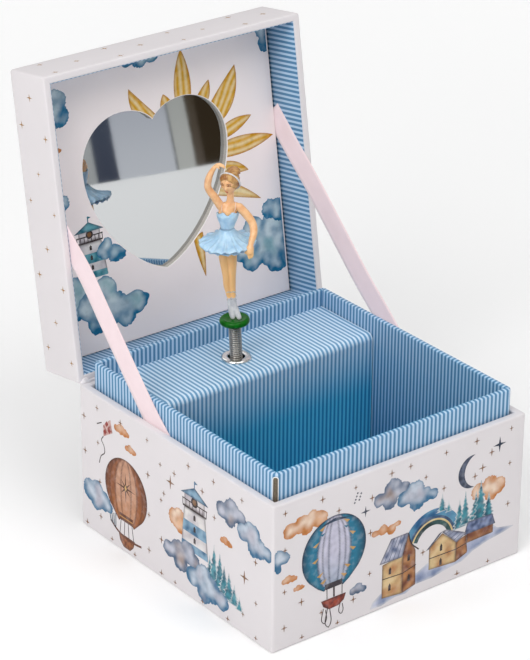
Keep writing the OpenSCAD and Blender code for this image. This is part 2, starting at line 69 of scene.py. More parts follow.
PAPER_T = 0.2       # the cover paper outside the board
HALF_X, HALF_Y, RIM = extent("case_board")[1] + PAPER_T
NECK_X, NECK_Y, NECK_TOP = extent("neck_paper")[1]
PLATFORM = extent("movement_cover")[1][2]
OPEN = radians(joints["lid_hinge"]["range_deg"][1])
LID_H = 21.2        # the closed lid's height above the rim
BOARD = 2.9         # a wall with the paper on both of its faces
PANEL_V = 16.2      # how far in from the lid's rim the heart card lies
EDGE = 0.62         # the covers' rounding over the board's edges
SPIN = joints["figure_spin"]
SPIN_Z = SPIN["pos_m"][2] * 1000
AXIS = Vector(SPIN["axis"]).normalized()


# ------------------------------------------------------------------ camera

def set_camera():
    """The viewing angle and lens."""
    az, el, roll = radians(-38.07), radians(25.77), radians(0.48)
    back = Vector((sin(az) * cos(el), -cos(az) * cos(el), sin(el)))
    right = Vector((0, 0, 1)).cross(back).normalized()
    up = back.cross(right)
    r2 = right * cos(roll) + up * sin(roll)
    u2 = up * cos(roll) - right * sin(roll)
    m = Matrix((r2, u2, back)).transposed().to_4x4()
    m.translation = Vector((-0.0159, 0, 0.08625)) + back * 0.96421
    data = bpy.data.cameras.new("camera")
    data.sensor_width, data.lens = 36, 155.64
    data.clip_start, data.clip_end = 0.05, 50
    camera = bpy.data.objects.new("camera", data)
    camera.matrix_world = m
    bpy.context.collection.objects.link(camera)
    bpy.context.scene.camera = camera


set_camera()


# ------------------------------------------------------------------ shader helpers

def ink(r, g, b):
    """A screen colour, 0 to 255, as the linear one that shaders take."""
    return tuple((c / 255 / 12.92) if c <= 10 else ((c / 255 + 0.055) / 1.055) ** 2.4 for c in (r, g, b))


class Val:
    """A shader socket that can be written in sums."""

    def __init__(self, tree, out):
        self.tree, self.out = tree, out

    def maths(self, op, *values):
        n = self.tree.nodes.new("ShaderNodeMath")
        n.operation = op
        for i, v in enumerate(values):
            if isinstance(v, Val):
                self.tree.links.new(v.out, n.inputs[i])
            else:
                n.inputs[i].default_value = v
        return Val(self.tree, n.outputs[0])

    def __add__(self, o):
        return self.maths("ADD", self, o)

    def __radd__(self, o):
        return self.maths("ADD", o, self)

    def __sub__(self, o):
        return self.maths("SUBTRACT", self, o)

    def __rsub__(self, o):
        return self.maths("SUBTRACT", o, self)

    def __mul__(self, o):
        return self.maths("MULTIPLY", self, o)

    def __rmul__(self, o):
        return self.maths("MULTIPLY", o, self)

    def __pow__(self, o):
        return self.maths("POWER", self, o)

    def sine(self):
        return self.maths("SINE", self)

    def size(self):
        """The value without its sign."""
        return self.maths("ABSOLUTE", self)


class Finish:
    """A material on one Principled shader."""

    def __init__(self, name, colour=(0.8, 0.8, 0.8), **fixed):
        self.m = bpy.data.materials.new(name)
        self.m.use_nodes = True
        self.tree = self.m.node_tree
        self.shader = self.tree.nodes["Principled BSDF"]
        self.shader.inputs["Base Color"].default_value = (*colour, 1)
        for k, v in fixed.items():
            self.shader.inputs[k.replace("_", " ")].default_value = v

    def node(self, kind, settings=None, out=0, **sockets):
        n = self.tree.nodes.new("ShaderNode" + kind)
        for k, v in (settings or {}).items():
            setattr(n, k, v)
        for k, v in sockets.items():
            s = n.inputs[int(k[1:])] if k[0] == "i" and k[1:].isdigit() else n.inputs[k.replace("_", " ")]
            if isinstance(v, Val):
                self.tree.links.new(v.out, s)
            else:
                s.default_value = v
        return Val(self.tree, n.outputs[out])

    def place(self, scale=1000.0):
        """Object coordinates in mm."""
        return self.node("Mapping", Vector=self.node("TexCoord", out=3), Scale=(scale,) * 3)

    def grain(self, at, scale, detail=2.0):
        return self.node("TexNoise", Vector=at, Scale=scale, Detail=detail)

    def blend(self, f, a, b, how="MIX"):
        a, b = (c if isinstance(c, Val) else (*c, 1) for c in (a, b))
        return self.node("Mix", {"data_type": "RGBA", "blend_type": how}, out=2, i0=f, i6=a, i7=b)

    def step(self, x, low, high):
        return self.node("MapRange", {"interpolation_type": "SMOOTHSTEP"}, Value=x, From_Min=low,
                         From_Max=high)

    def parts(self, v):
        n = self.tree.nodes.new("ShaderNodeSeparateXYZ")
        self.tree.links.new(v.out, n.inputs[0])
        return [Val(self.tree, o) for o in n.outputs]

    def paint(self, value, socket="Base Color"):
        self.tree.links.new(value.out, self.shader.inputs[socket])
        return self

    def bump(self, height, strength=0.3, distance=0.00005):
        n = self.node("Bump", Height=height, Strength=strength, Distance=distance)
        return self.paint(n, "Normal")


# ------------------------------------------------------------------ finishes

def paper_finish(name="printed_paper", colour=ink(223, 218, 220)):
    f = Finish(name, Roughness=0.5, Specular_IOR_Level=0.35)
    p = f.place()
    cloudy = f.grain(p, 0.06, 3)
    f.paint(f.blend(cloudy, tuple(c * 0.965 for c in colour), tuple(min(1, c * 1.02) for c in colour)))
    f.paint(0.44 + 0.14 * f.grain(p, 0.3, 2), "Roughness")
    fibre = f.grain(p, 3.2, 4) * 0.5 + f.grain(p, 0.35, 2) * 1.2
    return f.bump(fibre, 0.35, 0.00006).m


def ink_finish():
    f = Finish("printed_ink", Roughness=0.48, Specular_IOR_Level=0.35)
    p = f.place()
    col = f.node("Attribute", {"attribute_name": "ink"})
    wet = f.grain(p, 0.45, 4)
    fine = f.grain(p, 3.0, 3)
    rich = f.node("HueSaturation", Saturation=1.1, Value=0.9, Fac=1.0, Color=col)
    lighter = f.blend(0.12 * f.step(wet, 0.45, 0.75), rich, ink(236, 232, 232))
    darker = f.blend(0.24 * f.step(1 - wet, 0.45, 0.75), lighter, (0.3, 0.3, 0.35), "MULTIPLY")
    f.paint(f.blend(0.10 * fine, darker, (0.35, 0.35, 0.35), "MULTIPLY"))
    return f.bump(f.grain(p, 3.2, 4), 0.3, 0.00005).m


PITCH = 1.8         # from one stripe to the next


def stripe_finish(name, along, shade_mask, shade, light=ink(186, 212, 236), dark=ink(86, 138, 178)):
    """Striped paper. along gives the mm to count stripes on; the mask function and the shade colour after it
    multiply painted shade into the inside.
    """
    f = Finish(name, Roughness=0.55, Specular_IOR_Level=0.2)
    p = f.place()
    x = along(f)
    wobble = f.grain(p, 0.12, 2) * 0.16
    wave = (((x + wobble) * (2 * pi / PITCH)).sine() + 1) * 0.5
    core = f.step(wave, 0.34, 0.72)
    thin = f.step(wave, 0.86, 1.0)
    col = f.blend(core, dark, light)
    col = f.blend(0.35 * thin, col, ink(206, 226, 238))
    col = f.blend(0.14 * f.grain(p, 2.5, 3), col, (0.45, 0.5, 0.6), "MULTIPLY")
    # Painted shade: the mask's strength blends the stripes towards the shade colour, darkening the inner faces.
    f.paint(f.blend(shade_mask(f, *f.parts(p)), col, shade, "MULTIPLY"))
    f.bump(f.grain(p, 3.0, 4) + 0.25 * core, 0.3, 0.00005)
    return f.m


def painted_shade_in_neck(f, x, y, z):
    """Painted shade on the neck's inner faces, below the platform and towards the front, weaker on the right wall.
    """
    inner = f.step(NECK_X - x.size(), 0.9, 1.8) * f.step(NECK_Y - y.size(), 0.9, 1.8)
    low = 1 - f.step(z, PLATFORM - 8, PLATFORM + 1)
    front = 1 - f.step(y, -35, 25)
    return inner * low.maths("MAXIMUM", low, front) * (1 - 0.8 * f.step(x, 20, 50))


def painted_shade_under_platform(f, x, y, z):
    # Painted shade on the platform's cover, darker further below its top.
    return 1 - f.step(z, PLATFORM - 24, PLATFORM + 1)


def along_uv(f):
    return f.parts(f.node("UVMap", {"uv_map": "length"}))[0]


def along_x(f):
    return f.parts(f.place())[0]


def board_finish(name="greyboard", dark=ink(88, 79, 67), light=ink(138, 127, 111)):
    f = Finish(name, Roughness=0.85, Specular_IOR_Level=0.2)
    p = f.place()
    speck = f.grain(p, 5.0, 4)
    f.paint(f.blend(f.step(speck, 0.35, 0.7), dark, light))
    return f.bump(speck, 0.6, 0.0001).m


def paper_edge_finish():
    f = Finish("cut_paper_edge", Roughness=0.7)
    p = f.place()
    f.paint(f.blend(f.grain(p, 2.0, 3), ink(226, 222, 216), ink(246, 244, 240)))
    return f.bump(f.grain(p, 6, 2), 0.3, 0.00005).m


def metal_finish(name, colour, rough, brush=0.0, tint=None):
    f = Finish(name, Metallic=1.0)
    p = f.place()
    cloudy = f.grain(p, 0.5, 3)
    f.paint(f.blend(cloudy, tuple(c * 0.88 for c in colour), tint or colour))
    f.paint(rough * 0.8 + rough * 0.5 * f.grain(p, 1.3, 3), "Roughness")
    if brush:
        fine = f.grain(f.node("Mapping", Vector=p, Scale=(0.6, 0.6, 14)), 1.0, 3)
        f.bump(fine, brush, 0.00003)
    return f.m


def plastic_finish(name, colour, dark, rough=0.3, coat=0.3, inside=0.0, shine=0.5, legs=None):
    f = Finish(name, Coat_Weight=coat, Coat_Roughness=0.15, Subsurface_Weight=inside,
               Specular_IOR_Level=shine)
    f.shader.inputs["Subsurface Scale"].default_value = 0.0012
    f.shader.inputs["Subsurface Radius"].default_value = (1.0, 0.5, 0.3)
    p = f.place()
    col = f.blend(f.step(f.grain(p, 0.5, 3), 0.3, 0.75), dark, colour)
    # Painted light: below the tutu the legs take the legs colour, brighter and warmer, lifting the tutu's shade.
    if legs:
        col = f.blend(1 - f.step(f.parts(p)[2], SPIN_Z + 44, SPIN_Z + 47), col, legs)
    f.paint(col)
    f.paint(rough * 0.85 + rough * 0.4 * f.grain(p, 1.6, 2), "Roughness")
    return f.bump(f.grain(p, 2.2, 3), 0.12, 0.00005).m


def satin_finish():
    # Painted light: the ribbon glows faintly pink by its own emission, lifting its shaded side.
    f = Finish("satin_ribbon", Roughness=0.42, Sheen_Weight=0.35, Sheen_Roughness=0.4,
               Emission_Strength=0.24)
    f.shader.inputs["Emission Color"].default_value = (1.0, 0.86, 0.88, 1)
    u, v, _ = f.parts(f.node("UVMap", {"uv_map": "length"}))
    weave = ((u * 18).sine() * (v * 26).sine() + 1) * 0.5
    ribs = ((v * 30).sine() + 1) * 0.5
    edge = f.step((v - 5).size(), 4.3, 5.0)
    col = f.blend(f.grain(f.place(), 0.15, 2), ink(206, 184, 188), ink(218, 198, 202))
    col = f.blend(0.25 * edge, col, ink(214, 180, 184))
    f.paint(f.blend(0.10 * weave, col, (0.7, 0.62, 0.64), "MULTIPLY"))
    return f.bump(weave * 0.6 + ribs * 0.4, 0.35, 0.00004).m


def mirror_finish():
    f = Finish("mirror_film", ink(202, 204, 205), Metallic=1.0)
    p = f.place()
    f.paint(0.012 + 0.02 * f.grain(p, 0.08, 2), "Roughness")
    return f.bump(f.grain(p, 0.02, 1), 0.08, 0.0002).m


M = dict(
    paper=paper_finish(), ink=ink_finish(), edge=paper_edge_finish(), board=board_finish(),
    core=board_finish("card_core", ink(172, 166, 158), ink(206, 200, 192)),
    card=paper_finish("card_paper", ink(249, 238, 236)),
    # The striped materials carry painted shade inside the neck and under the platform, with these shade colours.
    strip=stripe_finish("striped_paper", along_uv, painted_shade_in_neck, (0.28, 0.80, 0.90)),
    strip_x=stripe_finish("striped_platform", along_x, painted_shade_under_platform, (0.14, 0.62, 0.78),
                          ink(216, 234, 250), ink(112, 161, 197)),
    nickel=metal_finish("nickel_plate", (0.84, 0.83, 0.80), 0.16),
    nickel_wire=metal_finish("nickel_wire", (0.50, 0.47, 0.43), 0.34),
    steel=metal_finish("sheet_steel", (0.60, 0.60, 0.60), 0.30, 0.25),
    zinc=metal_finish("cast_zinc", (0.50, 0.50, 0.52), 0.45, 0.1),
    brass=metal_finish("turned_brass", (0.80, 0.60, 0.26), 0.25, 0.15),
    blued=metal_finish("spring_steel", (0.40, 0.39, 0.37), 0.26, 0.2, (0.58, 0.56, 0.53)),
    nylon=plastic_finish("white_nylon", ink(232, 229, 218), ink(215, 210, 196)),
    green=plastic_finish("green_plastic", ink(6, 112, 10), ink(0, 84, 2), 0.3, 0.0, 0.0, 0.22),
    # The skin's last colour is painted light for the legs under the tutu.
    skin=plastic_finish("figure_skin", ink(243, 196, 146), ink(232, 174, 122), 0.34, 0.25, 0.15, 0.5,
                        ink(255, 200, 134)),
    strap=plastic_finish("figure_straps", ink(248, 222, 204), ink(238, 204, 184), 0.4, 0.1),
    dress=plastic_finish("figure_dress", ink(190, 220, 240), ink(160, 198, 226), 0.30, 0.3, 0.1),
    hair=plastic_finish("figure_hair", ink(206, 162, 98), ink(152, 98, 46), 0.35, 0.3),
    pearl=plastic_finish("figure_pearl", ink(226, 226, 226), ink(196, 196, 200), 0.28, 0.4),
    brown=plastic_finish("figure_paint", ink(120, 72, 44), ink(92, 50, 30), 0.5, 0.0),
    red=plastic_finish("figure_lips", ink(206, 92, 82), ink(190, 76, 70), 0.4, 0.2),
    satin=satin_finish(), mirror=mirror_finish())

CAD_FINISH = {
    "base_paper": "paper", "greyboard": "board", "print_white": "paper", "stripe_paper": "strip_x",
    "nickel": "nickel", "steel": "steel", "zinc": "zinc", "brass": "brass", "spring_steel": "blued",
    "nylon": "nylon", "green_plastic": "green", "figure_plastic": "dress", "mirror": "mirror",
    "satin": "satin"}
for part in frame["record"]["subparts"]:
    o = nodes[part["node"]]
    for s in o.material_slots:
        s.material = M[CAD_FINISH[part["material_slot"]]]


# ------------------------------------------------------------------ mesh helpers

def piece(name, verts, faces, finish, body, slot, uv=None, face_finish=None, smooth=True, closed=True,
          colours=None):
    """A mesh piece from points in mm. uv is one (u, v) list for each face's corners."""
    me = bpy.data.meshes.new(name)
    me.from_pydata([tuple(float(c) * MM for c in v) for v in verts], [],
                   [tuple(map(int, f)) for f in faces])
    finishes = finish if isinstance(finish, (list, tuple)) else [finish]
    for k in finishes:
        me.materials.append(M[k])
    if face_finish is not None:
        me.polygons.foreach_set("material_index", face_finish)
    if uv is not None:
        layer = me.uv_layers.new(name="length")
        flat = [c for f in uv for p in f for c in p]
        layer.data.foreach_set("uv", flat)
    if colours is not None:
        a = me.color_attributes.new("ink", "FLOAT_COLOR", "POINT")
        c = np.ones((len(verts), 4), np.float32)
        c[:, :3] = colours
        a.data.foreach_set("color", c.ravel())
    if closed:
        bm = bmesh.new()
        bm.from_mesh(me)
        bmesh.ops.recalc_face_normals(bm, faces=bm.faces)
        bm.to_mesh(me)
        bm.free()
    me.polygons.foreach_set("use_smooth", [smooth] * len(me.polygons))
    o = bpy.data.objects.new(name, me)
    bpy.context.collection.objects.link(o)
    if body:
        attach(o, body)
    return o


def apply(o):
    """Turns o, with its modifiers, into plain mesh."""
    bpy.context.view_layer.update()
    me = bpy.data.meshes.new_from_object(o.evaluated_get(bpy.context.evaluated_depsgraph_get()))
    o.modifiers.clear()
    o.data = me
    return o


def cut(o, tool):
    """Takes the tool's shape out of o."""
    mod = o.modifiers.new("cut", "BOOLEAN")
    mod.object, mod.operation, mod.solver = tool, "DIFFERENCE", "EXACT"
    apply(o)
    bpy.data.objects.remove(tool)


def ring(hx, hy, r, inset, nc=8, ns=24):
    """A rounded rectangle from the middle of its front left corner, anticlockwise seen from above."""
    rad = max(r - inset, 0.05)
    cx, cy = hx - inset - rad, hy - inset - rad
    pts = []
    for k, (sx, sy) in enumerate(((-1, -1), (1, -1), (1, 1), (-1, 1), (-1, -1))):
        start = pi + k * pi / 2
        a0, a1 = (start + pi / 4, start + pi / 2) if k == 0 else (start,
                                                                  start + (pi / 4 if k == 4 else pi / 2))
        m = nc // 2 if k in (0, 4) else nc
        pts += [(sx * cx + rad * cos(a0 + (a1 - a0) * i / m), sy * cy + rad * sin(a0 + (a1 - a0) * i / m))
                for i in range(m + 1)]
        if k < 4:
            tx, ty = ((1, -1), (1, 1), (-1, 1), (-1, -1))[k]
            end = (tx * cx + rad * cos(start + pi / 2), ty * cy + rad * sin(start + pi / 2))
            p = pts[-1]
            pts += [(p[0] + (end[0] - p[0]) * i / ns, p[1] + (end[1] - p[1]) * i / ns)
                    for i in range(1, ns)]
    return np.array(pts)


def lengths(pts):
    """How far along a line each of its points is."""
    steps = np.diff(pts, axis=0)
    d = np.hypot(*steps.T) if pts.shape[1] == 2 else np.linalg.norm(steps, axis=1)
    return np.concatenate([[0], np.cumsum(d)])


def sweep_ring(profile, hx, hy, r, close_profile=True, caps=False):
    """Sweeps a profile of (inset, z) round a rounded rectangle. Returns points, faces and uvs in mm."""
    rings = [ring(hx, hy, r, d) for d, _ in profile]
    n = len(rings[0])
    s = lengths(rings[0] if min(d for d, _ in profile) == profile[0][0] else ring(hx, hy, r, 0))
    t = lengths(np.array(profile, float))
    cols = n - 1
    verts = np.concatenate([np.column_stack([q[:cols], np.full(cols, z)])
                            for q, (_, z) in zip(rings, profile)])
    faces, uv = [], []
    m = len(profile)
    for i in range(m if close_profile else m - 1):
        k = (i + 1) % m
        t1 = t[k] if k else t[-1] + hypot(profile[0][0] - profile[-1][0], profile[0][1] - profile[-1][1])
        for j in range(n - 1):
            q = (j + 1) % cols
            faces.append((i * cols + j, i * cols + q, k * cols + q, k * cols + j))
            uv.append(((s[j], t[i]), (s[j + 1], t[i]), (s[j + 1], t1), (s[j], t1)))
    if caps:
        for i in (0, m - 1):
            faces.append([i * cols + j for j in range(cols)])
            uv.append([tuple(rings[i][j]) for j in range(cols)])
    return verts, faces, uv


def open_lid(p):
    """Turns points drawn on the closed lid, in mm, to where the open lid holds them."""
    p = np.atleast_2d(np.asarray(p, float))
    y, z = p[:, 1] - HALF_Y, p[:, 2] - RIM
    return np.column_stack([p[:, 0], HALF_Y + y * cos(OPEN) + z * sin(OPEN),
                            RIM - y * sin(OPEN) + z * cos(OPEN)])


def arc(cx, cy, r, a0, a1, n=5):
    """Points of an arc, its angles in degrees."""
    return [(cx + r * cos(radians(a0 + (a1 - a0) * i / n)), cy + r * sin(radians(a0 + (a1 - a0) * i / n)))
            for i in range(n + 1)]


def tube(path, radii, sides=12, squash=(1, 1), up=(0, 0, 1)):
    """A tube along points in mm, with a radius at each, and flat ends."""
    path = np.asarray(path, float)
    radii = np.broadcast_to(radii, len(path)).astype(float)
    d = np.gradient(path, axis=0)
    d /= np.linalg.norm(d, axis=1)[:, None]
    u = np.cross(d[0], up)
    if np.linalg.norm(u) < 1e-3:
        u = np.cross(d[0], (0, 1, 0.1))
    u /= np.linalg.norm(u)
    verts = []
    for p, r, t in zip(path, radii, d):
        u = u - t * (u @ t)
        u /= np.linalg.norm(u)
        w = np.cross(t, u)
        for k in range(sides):
            a = 2 * pi * k / sides
            verts.append(p + r * (squash[0] * cos(a) * u + squash[1] * sin(a) * w))
    faces = []
    n = len(path)
    for i in range(n - 1):
        for k in range(sides):
            q = (k + 1) % sides
            faces.append((i * sides + k, i * sides + q, (i + 1) * sides + q, (i + 1) * sides + k))
    faces.append([k for k in range(sides)][::-1])
    faces.append([(n - 1) * sides + k for k in range(sides)])
    return np.array(verts), faces


def lathe(profile, steps=48):
    """Turns (radius, z) points about Z. The two ends lie on the axis or the profile is a closed loop."""
    closed = profile[0] == profile[-1]
    pts = profile[:-1] if closed else profile
    verts, faces, rows = [], [], []
    for r, z in pts:
        if r < 1e-6:
            rows.append([len(verts)])
            verts.append((0, 0, z))
        else:
            rows.append(list(range(len(verts), len(verts) + steps)))
            verts += [(r * cos(2 * pi * k / steps), r * sin(2 * pi * k / steps), z) for k in range(steps)]
    pairs = list(zip(rows, rows[1:])) + ([(rows[-1], rows[0])] if closed else [])
    for a, b in pairs:
        for k in range(steps):
            q = (k + 1) % steps
            if len(a) == 1 and len(b) == 1:
                continue
            if len(a) == 1:
                faces.append((a[0], b[k], b[q]))
            elif len(b) == 1:
                faces.append((a[k], a[q], b[0]))
            else:
                faces.append((a[k], a[q], b[q], b[k]))
    return np.array(verts), faces


def smooth_path(pts, n):
    """A smooth curve through given points."""
    p = np.asarray(pts, float)
    t = lengths(p)
    out = []
    m = np.gradient(p, t, axis=0)
    for x in np.linspace(0, t[-1], n):
        i = min(np.searchsorted(t, x, side="right") - 1, len(p) - 2)
        h = t[i + 1] - t[i]
        k = (x - t[i]) / h
        out.append((2 * k**3 - 3 * k**2 + 1) * p[i] + (k**3 - 2 * k**2 + k) * h * m[i]
                   + (-2 * k**3 + 3 * k**2) * p[i + 1] + (k**3 - k**2) * h * m[i + 1])
    return np.array(out)


def merge(*parts):
    """Joins (points, faces) pairs into one."""
    verts, faces = [], []
    for v, f in parts:
        k = sum(len(x) for x in verts)
        verts.append(np.asarray(v))
        faces += [[i + k for i in q] for q in f]
    return np.concatenate(verts), faces


# ------------------------------------------------------------------ case and lid covers

KEY_HOLE_R = 3.45


def case_cover():
    """The case's printed paper, turned over the rim and under the floor, with a hole for the key."""
    h = RIM
    r = EDGE
    profile = ([(12, 0.08), (2, 0.08)] + arc(r, 0.08 + r, r, 270, 180) + [(0, h * 0.3), (0, h * 0.6)]
               + arc(r, h - r, r, 180, 90) + arc(BOARD - 0.5, h - 0.5, 0.5, 90, 0)
               + [(BOARD, h - 4), (BOARD, h - 12), (BOARD - 0.2, h - 12), (BOARD - 0.2, h - 0.4),
                  (BOARD - 0.5, h - 0.2), (0.4, h - 0.2), (0.2, h - 0.4), (0.2, 0.5),
                  (0.4, 0.3), (12, 0.3)])
    v, f, uv = sweep_ring(profile, HALF_X, HALF_Y, 1.0)
    o = piece("case_cover", v, f, "paper", None, "print_white", uv)
    low, high = extent("key_bush")
    c = (low + high) / 2
    drill = tube([(c[0], HALF_Y - 6, c[2]), (c[0], HALF_Y + 4, c[2])], KEY_HOLE_R, 40)
    cut(o, piece("tool", *drill, "paper", None, None))
    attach(o, "case")
    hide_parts("case_wrap")


def lid_cover():
    """The lid's printed paper, and the striped strips inside its walls."""
    h = LID_H
    g = 0.15
    r, b = EDGE, BOARD - 0.2
    profile = ([(30, h), (8, h)] + arc(r, h - r, r, 90, 180) + [(0, h * 0.6), (0, h * 0.3)]
               + arc(r, g + r, r, 180, 270) + arc(b - 0.5, g + 0.5, 0.5, 270, 360)
               + [(b, 5), (b, 12), (b - 0.2, 12), (b - 0.2, g + 0.4), (b - 0.5, g + 0.2), (0.4, g + 0.2),
                  (0.2, g + 0.4), (0.2, h - 0.4), (0.4, h - 0.2), (8, h - 0.2), (30, h - 0.2)])
    v, f, uv = sweep_ring(profile, HALF_X, HALF_Y, 1.0, close_profile=False, caps=True)
    v[:, 2] += RIM
    o = piece("lid_cover", open_lid(v), f, "paper", "lid", "print_white", uv)
    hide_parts("lid_wrap")
    b = BOARD
    lining = [(b - 0.25, 0.6), (b - 0.1, 0.45), (b, 0.6), (b, 8), (b, PANEL_V + 2), (b - 0.25, PANEL_V + 2)]
    v, f, uv = sweep_ring(lining, HALF_X, HALF_Y, 0.6)
    v[:, 2] += RIM
    o = piece("lid_lining_strips", open_lid(v), f, "strip", "lid", "stripe_paper", uv)
    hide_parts("lid_lining")


def neck():
    """Paper strip round a board core; its joint leaves an arched slit at the front left corner."""
    t, top, low, r = 2.0, NECK_TOP, 3.0, 1.9
    w = 0.22
    profile = ([(0, low), (0, top - 8), (0, top - 3)] + arc(0.55, top - 0.55, 0.55, 180, 90)
               + arc(t - 0.5, top - 0.5, 0.5, 90, 0) + [(t, top - 3), (t, low), (t - w, low),
                                                        (t - w, top - 0.6), (t - 0.6, top - w),
                                                        (0.6, top - w), (w, top - 0.6), (w, low)])
    v, f, uv = sweep_ring(profile, NECK_X, NECK_Y, r)
    o = piece("neck_strip", v, f, ["strip", "edge"], None, "stripe_paper", uv)
    c = NECK_X - r * (1 - 1 / sqrt(2))
    slit_top = top - 1.1
    half = 0.85
    outline = [(-half, RIM - 14), (half, RIM - 14), (half, slit_top - half)] \
        + arc(0, slit_top - half, half, 0, 180, 8)[1:]
    d = np.array((1, -1)) / sqrt(2)
    into = np.array((1, 1)) / sqrt(2)
    corner = np.array((-c, -c))
    verts = [(*(corner + d * a + into * depth), z) for depth in (-1.2, 0.9) for a, z in outline]
    m = len(outline)
    faces = [list(range(m)), list(range(m, 2 * m))[::-1]] + [(i, (i + 1) % m, m + (i + 1) % m, m + i)
                                                             for i in range(m)]
    cut(o, piece("tool", verts, faces, "edge", None, None))
    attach(o, "case")
    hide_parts("neck_paper")
    core = [(w, low), (w, top - 0.65), (0.65, top - w), (t - 0.65, top - w),
            (t - w, top - 0.65), (t - w, low)]
    v, f, uv = sweep_ring(core, NECK_X, NECK_Y, r)
    o = piece("neck_core", v, f, "board", "case", "greyboard", uv, smooth=False)
    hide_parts("neck_board")
    rim = [(-half - 0.05, RIM - 4)] + [(-half - 0.05, slit_top - half)] \
        + [(a * 1.05, z) for a, z in arc(0, slit_top - half, half, 180, 0, 10)] + [(half + 0.05, RIM - 4)]
    path = [(*(corner + d * a + into * (-0.02 + 0.12 * abs(a))), z) for a, z in rim]
    piece("neck_slit_edge", *tube(path, 0.17, 8), "edge", "case", "stripe_paper")


case_cover()
lid_cover()
neck()


# ------------------------------------------------------------------ heart card and mirror

def bezier(p, n):
    """Points of a cubic curve, without its last one."""
    p = np.array(p, float)
    t = np.linspace(0, 1, n, endpoint=False)[:, None]
    return (1 - t)**3 * p[0] + 3 * t * (1 - t)**2 * p[1] + 3 * t * t * (1 - t) * p[2] + t**3 * p[3]


HEART_X, HEART_U = -1.8, 26.0
HEART_MID = np.array((HEART_X, HEART_U + 34.0))


def heart(grow=0.0, n=14):
    """The heart's outline on the panel, grown outwards by grow."""
    right = np.concatenate([
        bezier([(0, 0), (12, 3), (31.5, 22), (31.5, 42)], n),
        bezier([(31.5, 42), (31.5, 53), (23, 60.5), (13.5, 60.5)], n),
        bezier([(13.5, 60.5), (7, 60.5), (2.5, 58), (0, 55)], n)])
    left = right[1:][::-1] * (-1, 1)
    loop = np.concatenate([right, [(0, 55)], left])
    if grow:
        d = np.roll(loop, -1, 0) - np.roll(loop, 1, 0)
        nrm = np.column_stack([d[:, 1], -d[:, 0]])
        loop = loop + grow * nrm / np.linalg.norm(nrm, axis=1)[:, None]
    return loop + (HEART_X, HEART_U)


def panel_point(x, u, v):
    """A point of the lid's inside, u up from the hinge and v in from the rim."""
    x, u, v = np.broadcast_arrays(np.atleast_1d(x), u, v)
    return open_lid(np.column_stack([x, HALF_Y - u, RIM + v]))


def square_round(loop, hx, u0, u1):
    """Where lines from the heart's middle through the loop meet the card's edge."""
    out = []
    for p in loop:
        d = p - HEART_MID
        side, end = (hx if d[0] > 0 else -hx, u1 if d[1] > 0 else u0) - HEART_MID
        out.append(HEART_MID + d * min(side / d[0] if d[0] else inf, end / d[1] if d[1] else inf))
    return np.array(out)


def heart_card():
    """The printed card with a heart cut out of it and a cut edge that shows its core."""
    hx, u0, u1 = HALF_X - 3.4, 3.1, 2 * HALF_Y - 3.1
    loop = heart()
    c = HEART_MID
    ang = np.arctan2(loop[:, 1] - c[1], loop[:, 0] - c[0])
    outer = square_round(loop, hx, u0, u1)
    for corner in ((hx, u0), (hx, u1), (-hx, u1), (-hx, u0)):
        a = atan2(corner[1] - c[1], corner[0] - c[0])
        outer[np.argmin(np.abs(np.angle(np.exp(1j * (ang - a)))))] = corner
    n = len(loop)
    rings = [(heart(0.0), PANEL_V + 2), (heart(0.0), PANEL_V + 0.28), (heart(0.02), PANEL_V + 0.26),
             (heart(0.10), PANEL_V + 0.05), (heart(0.28), PANEL_V)]
    for k in (0.25, 0.5, 0.75):
        rings.append((heart(0.28) * (1 - k) + outer * k, PANEL_V))
    rings += [(outer, PANEL_V), (outer, PANEL_V + 2)]
    verts = np.concatenate([panel_point(q[:, 0], q[:, 1], v) for q, v in rings])
    faces, fin = [], []
    m = len(rings)
    for i in range(m):
        k = (i + 1) % m
        for j in range(n):
            q = (j + 1) % n
            faces.append((i * n + j, i * n + q, k * n + q, k * n + j))
            fin.append(1 if i == 0 else 2 if i in (1, 2) else 0)
    o = piece("heart_card", verts, faces, ["card", "core", "edge"], "lid", "print_white",
              face_finish=fin, smooth=False)
    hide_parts("heart_panel")


heart_card()


# ------------------------------------------------------------------ spring, stand and dancer

eyelet_low, eyelet_high = extent("spindle_eyelet")
FOOT = np.array([(eyelet_low[0] + eyelet_high[0]) / 2, (eyelet_low[1] + eyelet_high[1]) / 2, PLATFORM - 1])
SPRING = 15.0       # this and the next two are heights along the figure's axis, up from FOOT
STAND = SPRING + 0.05
SOLE = STAND + 1.6
SPRING_R, TURNS = 1.961, 17.0
FACING = radians(-38)


def on_axis(p, turn=FACING):
    """Points (right, away, up from the eyelet) of the figure, in mm, in the box's frame."""
    p = np.atleast_2d(np.asarray(p, float))
    c, s = cos(turn), sin(turn)
    q = np.column_stack([p[:, 0] * c - p[:, 1] * s, p[:, 0] * s + p[:, 1] * c, p[:, 2]])
    lean = np.array(Vector((0, 0, 1)).rotation_difference(AXIS).to_matrix())
    return q @ lean.T + FOOT


def node_group(name, inputs):
    """A geometry node tree with named number inputs, and its group input and output nodes."""
    g = bpy.data.node_groups.new(name, "GeometryNodeTree")
    g.interface.new_socket("Geometry", in_out="INPUT", socket_type="NodeSocketGeometry")
    g.interface.new_socket("Geometry", in_out="OUTPUT", socket_type="NodeSocketGeometry")
    for label, kind in inputs:
        g.interface.new_socket(label, in_out="INPUT", socket_type=kind)
    return g, g.nodes.new("NodeGroupInput"), g.nodes.new("NodeGroupOutput")


